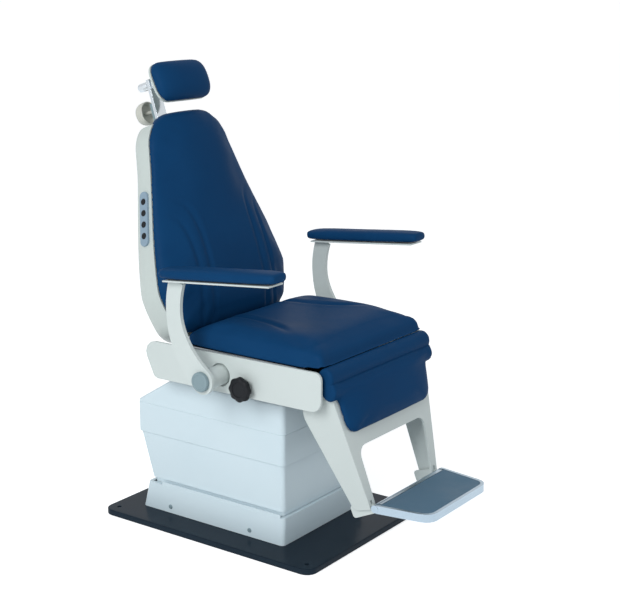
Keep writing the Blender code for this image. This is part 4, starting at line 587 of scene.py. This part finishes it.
def even_mesh(name, forms, voxel):
    """The forms grown into one blank with faces of one even size, so that the cloth stretches evenly."""
    joined = bmesh.new()
    for grid in forms:
        blank = skin(name + "_blank", grid)
        joined.from_mesh(blank.data)
        if grid is not forms[-1]:
            bpy.data.objects.remove(blank)
    joined.to_mesh(blank.data)
    joined.free()
    remesh = blank.modifiers.new("even", "REMESH")
    remesh.mode = "VOXEL"
    remesh.voxel_size = voxel
    shape = bpy.data.meshes.new_from_object(blank.evaluated_get(bpy.context.evaluated_depsgraph_get()))
    bpy.data.objects.remove(blank)
    pad = bpy.data.objects.new(name + "_pad", shape)
    bpy.context.scene.collection.objects.link(pad)
    shape.shade_smooth()
    return pad


def even_out(mesh, values, rounds):
    """Average each point's value with those of its neighbours, several times over."""
    pairs = np.empty(len(mesh.edges) * 2, dtype=np.int64)
    mesh.edges.foreach_get("vertices", pairs)
    first, second = pairs.reshape(-1, 2).T
    count = np.bincount(pairs, minlength=len(values))[:, None]
    for _ in range(rounds):
        total = np.zeros_like(values)
        np.add.at(total, first, values[second])
        np.add.at(total, second, values[first])
        values = 0.5 * values + 0.5 * total / np.maximum(count, 1)
    return values


pads = {name: even_mesh(name, forms, voxel) for name, (forms, voxel) in BLANKS.items()}
starts = {name: points_of(pad.data) for name, pad in pads.items()}
scene = bpy.context.scene
for name, pad in pads.items():
    pinned = np.nonzero(board_depth(name, starts[name]) < BOARD_REACH)[0]
    pins = pad.vertex_groups.new(name="board")
    pins.add(pinned.tolist(), 1.0, "REPLACE")
    cloth = pad.modifiers.new("swell", "CLOTH")
    cloth.settings.use_pressure = True
    cloth.settings.uniform_pressure_force = PRESSURE
    cloth.settings.vertex_group_mass = "board"
    cloth.settings.effector_weights.gravity = 0.0
    cloth.collision_settings.use_collision = False
for step in range(1, CLOTH_STEPS + 1):
    scene.frame_set(step)
ready = bpy.context.evaluated_depsgraph_get()
for name, pad in pads.items():
    moved = points_of(pad.evaluated_get(ready).data) - starts[name]
    far = np.linalg.norm(moved, axis=1, keepdims=True)
    moved = moved * CAP[name] * np.tanh(far / CAP[name]) / np.maximum(far, 1e-9)
    held = (board_depth(name, starts[name]) > BOARD_REACH)[:, None]
    moved = even_out(pad.data, moved, EVEN_ROUNDS) * held
    pad.modifiers.remove(pad.modifiers["swell"])
    starts[name] = starts[name] + moved
    print(name, "swelled up to %.1f mm" % (1000.0 * np.linalg.norm(moved, axis=1).max()))
scene.frame_set(1)

# %% [markdown]
# ## Cushions: sewn channels and creases
# A sewn channel pulls the vinyl down along a line of stitches, and the foam bulges on both sides.
# For each point we find its distance to the line, and sink it by a bell curve of that distance.
# The seat also has a shallow hollow where people sit, and a short tuck at each front corner.

# %% Sew the channels
def line_distance(points, path):
    """Distance from 2-D points to a polyline and how far along it they lie, over all its pieces at once."""
    start, step = path[:-1], np.diff(path, axis=0)
    share = np.clip(((points[:, None, :] - start) * step).sum(-1) / (step ** 2).sum(-1), 0.0, 1.0)
    away = np.linalg.norm(points[:, None, :] - start - share[..., None] * step, axis=-1)
    nearest = away.argmin(axis=1)
    row = np.arange(len(points))
    return away[row, nearest], (nearest + share[row, nearest]) / len(step)


def groove(points, path, depth, width, fade=0.0):
    """Bell-shaped sink with a slight swell beside it; fade is the share of the path that runs out."""
    distance, along = line_distance(points, path)
    strength = np.clip((1.0 - along) / fade, 0.0, 1.0) if fade else 1.0
    bell = np.exp(-(distance / width) ** 2) - 0.22 * np.exp(-((distance - 2.4 * width) / width) ** 2)
    return depth * strength * bell


# Each back channel: distance from the middle, outward sweep at its top, height of its top.
BACK_CHANNELS = ((0.100, 0.070, 0.395), (0.141, 0.050, 0.355))
CHANNEL_LOW, CHANNEL_SPREAD, CHANNEL_POINTS = 0.060, 0.015, 40
# Each groove: depth, width, share of the path over which it fades.
BACK_GROOVE, SEAT_GROOVE, TUCK_GROOVE = (0.0042, 0.0065, 0.35), (0.0058, 0.0090, 0.25), (0.0026, 0.0075, 0.5)
SEAT_LINE, SEAT_LINE_START, SEAT_LINE_LONG = 0.236, 0.020, 0.289
HOLLOW_DEEP, HOLLOW_Y, HOLLOW_WIDE, HOLLOW_LONG = 0.005, -0.110, 0.120, 0.130


def back_channel(side, line, flare, top):
    """From the lumbar upwards, spreading outwards with the fourth power of the share along it."""
    share = np.linspace(0.0, 1.0, CHANNEL_POINTS)
    x = side * (line + CHANNEL_SPREAD * (1.0 - share) ** 2 + flare * share ** 4)
    z = CHANNEL_LOW + (top - CHANNEL_LOW) * np.sin(share * pi / 2.0)
    return np.stack([x, z], axis=-1)


def seat_channel(side):
    """From the rear of the seat forwards, curving outwards with the cube of the share along it."""
    share = np.linspace(0.0, 1.0, CHANNEL_POINTS)
    y = SEAT_REAR - SEAT_LINE_START - SEAT_LINE_LONG * share
    return np.stack([side * SEAT_LINE * (0.46 + 0.34 * share ** 3), y], axis=-1)


back = starts["back_cushion"]
local = lean(back - BACK_PIVOT, -BACK_LEAN, np.zeros(3))
front = np.clip((board_depth("back_cushion", back) - 0.012) / 0.015, 0.0, 1.0)
sink = np.zeros(len(back))
for side in SIDES.values():
    for line, flare, top in BACK_CHANNELS:
        sink += groove(local[:, [0, 2]], back_channel(side, line, flare, top), *BACK_GROOVE)
local[:, 1] += sink * front
starts["back_cushion"] = on_back(local)

seat = starts["seat_cushion"]
top_side = np.clip((board_depth("seat_cushion", seat) - 0.020) / 0.020, 0.0, 1.0)
sink = HOLLOW_DEEP * np.exp(-(seat[:, 0] / HOLLOW_WIDE) ** 2 - ((seat[:, 1] - HOLLOW_Y) / HOLLOW_LONG) ** 2)
for side in SIDES.values():
    sink += groove(seat[:, :2], seat_channel(side), *SEAT_GROOVE)
    tuck = np.array([[side * 0.236, -0.335], [side * 0.195, -0.326], [side * 0.160, -0.322]])
    sink += groove(seat[:, :2], tuck, *TUCK_GROOVE)
seat[:, 2] -= sink * top_side
print("channels sewn, deepest %.1f mm" % (1000.0 * sink.max()))

# %% [markdown]
# ## Cushions: room for the legs to swing
# The leg cushion turns about a shaft just under the seat's nose. On a real chair the foam there is
# cut away in a round hollow that cannot be seen from in front. We push the seat's points out of a
# cylinder about the shaft, and draw the top of the leg cushion in until it fits that cylinder.

# %% Clear the swing
SWING_ROOM, LEG_SWING, SWING_LOW = 0.0575, 0.0565, -0.012
reach = seat[:, 1:] - LEG_PIVOT[1:]
radius = np.linalg.norm(reach, axis=1, keepdims=True)
inside = (radius < SWING_ROOM) & (np.abs(seat[:, :1]) < ROLL_HALF)
seat[:, 1:] = np.where(inside, LEG_PIVOT[1:] + reach * SWING_ROOM / radius, seat[:, 1:])

local = lean(starts["leg_cushion"] - LEG_PIVOT, -LEG_LEAN, np.zeros(3))
radius = np.linalg.norm(local[:, 1:], axis=1)
allowed = LEG_SWING + np.clip(SWING_LOW - local[:, 2], 0.0, None)
local[:, 1:] *= np.minimum(1.0, allowed / radius)[:, None]
starts["leg_cushion"] = on_legs(local)
print(int(inside.sum()), "points of the seat moved out of the legs' swing")

# %% [markdown]
# ## Cushions: putting them on the chair
# Each cushion rides on the part of the chair that it is screwed to. The small roll between the seat's
# nose and the leg cushion, which has nowhere to go when the legs rise, gets a mesh of its own.

# %% Finish the cushions
CUSHION_BODY = {"seat_cushion": "seat", "back_cushion": "back", "leg_cushion": "legrest",
                "leg_roll": "legrest", "headrest_cushion": "headrest",
                "armrest_pad_left": "arm_left", "armrest_pad_right": "arm_right"}
SMOOTH_SHARE, SMOOTH_ROUNDS, FILL = 0.4, 2, 0.9
for name, pad in pads.items():
    set_points(pad.data, starts[name])
    pad.vertex_groups.clear()
    smooth = pad.modifiers.new("rest", "SMOOTH")
    smooth.factor = SMOOTH_SHARE
    smooth.iterations = SMOOTH_ROUNDS
    fine = pad.modifiers.new("fine", "SUBSURF")
    fine.levels = 1
    fine.render_levels = 1
    paint(pad, "navy_vinyl")
    if name in nodes:
        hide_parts(name)
    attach(pad, CUSHION_BODY[name])
    print(name, len(pad.data.polygons), "faces before subdivision")
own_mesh(pads["leg_roll"])


# %% [markdown]
# ## The moulded back shell
# A thin shell closes the back from behind. Each level is half of a squared-off ring, deeper at the
# lumbar than at the shoulders. Going round the outside and back along the inside gives it a wall.
# Two cuts let the headrest's bar and the back's frame through. The headrest's shell is a shallow tray.

# %% Back shell and headrest shell
SHELL_WALL, SHELL_POWER, SHELL_DEEP, SHELL_TAPER = 0.005, 3.6, 0.136, 0.046
BAR_SLOT = (-0.024, 0.028, 0.521), (0.024, 0.130, 0.660)
FRAME_SLOT = (-0.094, -0.030, -0.010), (0.094, 0.030, 0.040)
TRAY_EDGE, TRAY_CROWN, TRAY_FACE = 0.002, 0.010, -0.0123


def shell_rings(low, high, rows=60, columns=48):
    """Closed rings of the shell: the rear arch from right to left, then the inner arch back."""
    t = spread(rows)[:, None]
    z = low + (high - low) * t
    half = back_outline(z, low)
    ends = power_round(np.clip(t - 0.5, 0.0, None) * 2.0, 8.0)
    share = (z - low) / (BACK_HIGH - low)
    deep = (SHELL_DEEP - SHELL_TAPER * np.minimum(1.0, share / 0.75)) * (0.5 + 0.5 * ends)
    angle = (pi * np.arange(columns) / (columns - 1))[None, :]
    c, s = np.cos(angle), np.abs(np.sin(angle))

    def arch(inset):
        x = -np.maximum(half - inset, 0.002) * np.sign(c) * np.abs(c) ** (2.0 / SHELL_POWER)
        y = BACK_FACE + 0.0003 + (deep - inset) * s ** (2.0 / SHELL_POWER)
        return np.stack([x, y, np.clip(z, low + inset, high - inset) + np.zeros_like(c)], axis=-1)
    return np.concatenate([arch(0.0), arch(SHELL_WALL)[:, ::-1]], axis=1)


def box_rings(low, high):
    """Two square rings that bound a box."""
    square = np.array([[0, 0], [1, 0], [1, 1], [0, 1]])
    low, high = np.array(low), np.array(high)
    plan = low[:2] + square * (high - low)[:2]
    return np.stack([np.concatenate([plan, np.full((4, 1), z)], axis=1) for z in (low[2], high[2])])


def carve(piece, rings):
    """Cut a closed form out of a piece and keep the result as its mesh."""
    cutter = skin("cutter", rings)
    cut = piece.modifiers.new("cut", "BOOLEAN")
    cut.operation = "DIFFERENCE"
    cut.solver = "EXACT"
    cut.object = cutter
    shape = bpy.data.meshes.new_from_object(piece.evaluated_get(bpy.context.evaluated_depsgraph_get()))
    piece.modifiers.remove(cut)
    piece.data = shape
    bpy.data.objects.remove(cutter)


back_shell = skin("back_shell_skin", on_back(shell_rings(SHELL_LOW, SHELL_HIGH)))
for slot_box in (BAR_SLOT, FRAME_SLOT):
    carve(back_shell, on_back(box_rings(*slot_box)))
stand_in(back_shell, "back_shell", "shell_white", "back")


def tray_crown(u, t):
    """Depth of the headrest's shell: a tray with a flat floor and rounded sides."""
    return TRAY_EDGE + TRAY_CROWN * power_round(u, 5.0) * power_round(2.0 * t - 1.0, 5.0)


head_grid = pad_grid(head_half, -HEAD_HALF, HEAD_HALF, tray_crown)
head_rear = np.stack([head_grid[..., 0], TRAY_FACE + head_grid[..., 1], head_grid[..., 2]], axis=-1)
head_shell = skin("headrest_shell_skin", on_head(head_rear))
stand_in(head_shell, "headrest_shell", "shell_white", "headrest")
print("shells", len(back_shell.data.polygons), len(head_shell.data.polygons))

# %% [markdown]
# ## The top of the lifting box
# The highest cover has a level roof that slopes down at the rear, with its edges rounded in the
# mould. We stack horizontal outlines: the rear edge moves forward as the roof slopes, the last few
# rings curl inwards to round the roof's edge, and a circle closes them at the turntable.

# %% Top cover
BOX_HALF, BOX_FRONT, BOX_REAR = 0.1815, -0.211, 0.299
ROOF, ROOF_END, TIER, LIP, ROLL = 0.407, 0.170, 0.321, 0.327, 0.010
COVER_WALL, COVER_CORNER, TURN_HOLE = 0.003, 0.014, 0.090


def box_rear(z):
    """The rear edge at height z: upright to the lip, then moving forwards up the sloping roof."""
    return BOX_REAR - (BOX_REAR - ROOF_END) * np.clip((z - LIP) / (ROOF - LIP), 0.0, 1.0)


def cover_ring(z, inset):
    """The cover's outline at height z, drawn in by inset."""
    corner = max(COVER_CORNER - inset, 0.004)
    plan = rounded_plan(BOX_HALF - inset, BOX_FRONT + inset, box_rear(z) - inset, corner)
    return np.concatenate([plan, np.full((len(plan), 1), z)], axis=1)


def hole_ring(z):
    """A circle for the turntable, with each point straight inside its fellow on the outline."""
    plan = cover_ring(z, 0.0)[:, :2]
    angle = np.arctan2(plan[:, 1], plan[:, 0])
    circle = np.stack([np.cos(angle), np.sin(angle)], axis=-1) * TURN_HOLE
    return np.concatenate([circle, np.full((len(plan), 1), z)], axis=1)


curl = np.linspace(0.0, pi / 2.0, 6)
outside = [cover_ring(z, 0.0) for z in (TIER, LIP, *np.linspace(LIP + 0.004, ROOF - ROLL, 8))]
outside += [cover_ring(ROOF - ROLL + ROLL * sin(a), ROLL * (1.0 - cos(a))) for a in curl[1:]]
roof_hole = [hole_ring(ROOF), hole_ring(ROOF - COVER_WALL)]
under = [cover_ring(ROOF - COVER_WALL, ROLL + COVER_WALL), cover_ring(ROOF - 0.012, COVER_WALL),
         cover_ring(LIP, COVER_WALL), cover_ring(TIER, COVER_WALL)]
top_cover = skin("top_cover_skin", np.array(outside + roof_hole + under), ring=True)
stand_in(top_cover, "top_cover", "cover_white", "lift", 30.0)
print("top cover", len(top_cover.data.polygons))

# %% [markdown]
# ## Knobs and caps
# Turned pieces are a profile spun about an axis. The lock knob's radius swells eight times round,
# the tilt knob has fine knurling near its rim, and the arm caps are plain stepped discs.
# A profile is a list of (radius, distance along the axis), both in metres.

# %% Turned pieces
LOCK_AT, LOCK_LOBES, LOCK_SWELL, LOCK_GROWTH = (-0.254, -0.141, 0.4565), 8, 0.045, 1.07
CAP_X, CAP_Y, CAP_Z = 0.3245, -0.060, 0.477
HAND_Z, TILT_Z, KNURLS, KNURL_SWELL = 0.655, 0.727, 36, 0.022


def spun(profile, steps=64, lobes=0, swell=0.0, where=None):
    """Rings of (radius, along) about the along axis.

    The radius swells lobes times round by the given share, as strongly as where says at each ring.
    """
    profile = np.asarray(profile)
    turn = np.linspace(0.0, 2.0 * pi, steps, endpoint=False)
    share = np.ones(len(profile)) if where is None else np.asarray(where)
    wave = 1.0 + swell * np.cos(lobes * turn)[None, :] * share[:, None]
    radius = profile[:, :1] * wave
    along = profile[:, 1:] + np.zeros_like(radius)
    return np.stack([radius * np.cos(turn), radius * np.sin(turn), along], axis=-1)


def aim_x(rings, sign, centre):
    """Turn the along axis to point sideways, to the left for sign 1, from the centre."""
    return np.stack([sign * rings[..., 2], rings[..., 0], rings[..., 1]], axis=-1) + centre


def aim_rear(rings, z):
    """Turn the along axis to point out of the rear of the back, at height z on it."""
    return on_back(np.stack([rings[..., 0], rings[..., 2], rings[..., 1] + z], axis=-1))


knob_profile = np.array([
    (0.0060, -0.2700), (0.0060, 0.0010), (0.0160, 0.0010), (0.0240, 0.0060), (0.0285, 0.0100),
    (0.0300, 0.0140), (0.0300, 0.0200), (0.0285, 0.0235), (0.0250, 0.0255), (0.0180, 0.0262),
    (0.0170, 0.0245), (0.0060, 0.0245)])
stem = knob_profile[:, 0] <= 0.006
knob_profile[:, 0] *= np.where(stem, 1.0, LOCK_GROWTH)
rim = [0, 0, 0.3, 0.8, 1, 1, 1, 1, 0.9, 0.4, 0.2, 0]
knob_rings = spun(knob_profile, 96, LOCK_LOBES, LOCK_SWELL, rim)
lock = skin("lock_knob_skin", aim_x(knob_rings, SIDES["right"], np.array(LOCK_AT)))
stand_in(lock, "lock_knob", "black_plastic", "lock")

cap_profile = [
    (0.0088, -0.0275), (0.0088, 0.0004), (0.0255, 0.0004), (0.0260, 0.0012), (0.0260, 0.0080),
    (0.0250, 0.0105), (0.0225, 0.0118), (0.0190, 0.0121), (0.0180, 0.0112), (0.0050, 0.0112)]
for label, side in SIDES.items():
    cap_rings = aim_x(spun(cap_profile), side, np.array([side * CAP_X, CAP_Y, CAP_Z]))
    cap = skin("armrest_pin_skin_" + label, cap_rings)
    stand_in(cap, "armrest_pin_" + label, "grey_plastic", "arm_" + label)

hand_profile = [
    (0.0048, 0.0435), (0.0048, 0.0930), (0.0110, 0.0935), (0.0240, 0.0925), (0.0275, 0.0880),
    (0.0290, 0.0775), (0.0300, 0.0762), (0.0318, 0.0762), (0.0328, 0.0775), (0.0330, 0.0880),
    (0.0322, 0.0960), (0.0295, 0.1030), (0.0240, 0.1075), (0.0160, 0.1090), (0.0040, 0.1093)]
hand = skin("headrest_hand_knob_skin", aim_rear(spun(hand_profile), HAND_Z))
stand_in(hand, "headrest_hand_knob", "ivory_plastic", "height_knob", 45.0)

tilt_profile = [
    (0.0038, 0.0335), (0.0038, 0.0434), (0.0082, 0.0434), (0.0082, 0.0520), (0.0112, 0.0525),
    (0.0119, 0.0540), (0.0119, 0.0850), (0.0110, 0.0875), (0.0060, 0.0880)]
knurl = [0, 0, 0, 0, 1, 1, 1, 0.5, 0]
tilt = skin("headrest_tilt_knob_skin", aim_rear(spun(tilt_profile, 144, KNURLS, KNURL_SWELL, knurl), TILT_Z))
stand_in(tilt, "headrest_tilt_knob", "bright_chrome", "tilt_knob")
print("turned pieces made")

# %% [markdown]
# ## Light, floor and camera
# The chair stands on a plain pale floor in soft daylight from the left, with a weaker light from
# the front. The camera has the place and lens that were worked out from the photograph's edges.

# %% Stage
def seen_directly(tree):
    """1 for rays from the camera and for rays in mirrors and glass, 0 for the light on the object."""
    path = tree.nodes.new("ShaderNodeLightPath")
    seen = path.outputs["Is Camera Ray"]
    for kind in ("Is Glossy Ray", "Is Transmission Ray"):
        either = tree.nodes.new("ShaderNodeMath")
        either.operation = "MAXIMUM"
        tree.links.new(seen, either.inputs[0])
        tree.links.new(path.outputs[kind], either.inputs[1])
        seen = either.outputs[0]
    return seen


FLOOR_REACH, FLOOR_Z, FLOOR_GLOW, AMBIENT = 60.0, -0.0005, 0.60, 0.46
LOOK_AT = (0.0, 0.0, 0.6)
floor_corners = np.array([(-1.0, -1.0, 0.0), (1.0, -1.0, 0.0), (1.0, 1.0, 0.0), (-1.0, 1.0, 0.0)])
floor_mesh = bpy.data.meshes.new("floor")
floor_mesh.from_pydata((floor_corners * FLOOR_REACH + (0.0, 0.0, FLOOR_Z)).tolist(), [], [(0, 1, 2, 3)])
floor = bpy.data.objects.new("floor", floor_mesh)
bpy.context.scene.collection.objects.link(floor)
floor_paint = bpy.data.materials.new("floor_paint")
floor_paint.use_nodes = True
floor_shader = floor_paint.node_tree.nodes["Principled BSDF"]
floor_shader.inputs["Base Color"].default_value = (0.90, 0.91, 0.92, 1.0)
floor_shader.inputs["Roughness"].default_value = 0.8
floor_shader.inputs["Specular IOR Level"].default_value = 0.1
floor_shader.inputs["Emission Color"].default_value = (1.0, 1.0, 1.0, 1.0)
floor_lift = floor_paint.node_tree.nodes.new("ShaderNodeMath")
floor_lift.operation = "MULTIPLY"
floor_lift.inputs[1].default_value = FLOOR_GLOW
floor_paint.node_tree.links.new(seen_directly(floor_paint.node_tree), floor_lift.inputs[0])
floor_paint.node_tree.links.new(floor_lift.outputs[0], floor_shader.inputs["Emission Strength"])
floor_mesh.materials.append(floor_paint)

world = bpy.data.worlds.new("studio")
bpy.context.scene.world = world
world.use_nodes = True
tree = world.node_tree
backdrop = tree.nodes["Background"]
backdrop.inputs["Color"].default_value = (1.0, 1.0, 1.0, 1.0)
backdrop.inputs["Strength"].default_value = 1.0
ambient = tree.nodes.new("ShaderNodeBackground")
ambient.inputs["Color"].default_value = (0.93, 0.97, 1.0, 1.0)
ambient.inputs["Strength"].default_value = AMBIENT
choose = tree.nodes.new("ShaderNodeMixShader")
tree.links.new(seen_directly(tree), choose.inputs[0])
tree.links.new(ambient.outputs[0], choose.inputs[1])
tree.links.new(backdrop.outputs[0], choose.inputs[2])
tree.links.new(choose.outputs[0], tree.nodes["World Output"].inputs["Surface"])


def area_light(name, place, size, power):
    """A square light at a place, turned to look at the middle of the chair."""
    data = bpy.data.lights.new(name, "AREA")
    data.size = size
    data.energy = power
    lamp = bpy.data.objects.new(name, data)
    bpy.context.scene.collection.objects.link(lamp)
    lamp.location = place
    lamp.rotation_euler = (Vector(LOOK_AT) - Vector(place)).to_track_quat("-Z", "Y").to_euler()


area_light("key", (-4.2, -0.5, 2.9), 2.4, 142.0)
area_light("fill", (0.6, -4.0, 2.2), 2.6, 28.0)

SENSOR_MM, FOCAL_PIXELS, WIDTH_PIXELS = 36.0, 1365.0, 620.0
eye = bpy.data.cameras.new("photo_camera")
eye.sensor_width = SENSOR_MM
eye.lens = SENSOR_MM * FOCAL_PIXELS / WIDTH_PIXELS
camera = bpy.data.objects.new("photo_camera", eye)
bpy.context.scene.collection.objects.link(camera)
camera.location = (-2.849, -2.227, 1.496)
camera.rotation_euler = Vector((0.786, 0.569, -0.240)).to_track_quat("-Z", "Y").to_euler()
bpy.context.scene.camera = camera
bpy.context.scene.view_settings.view_transform = "Standard"
print("camera lens %.1f mm" % eye.lens)
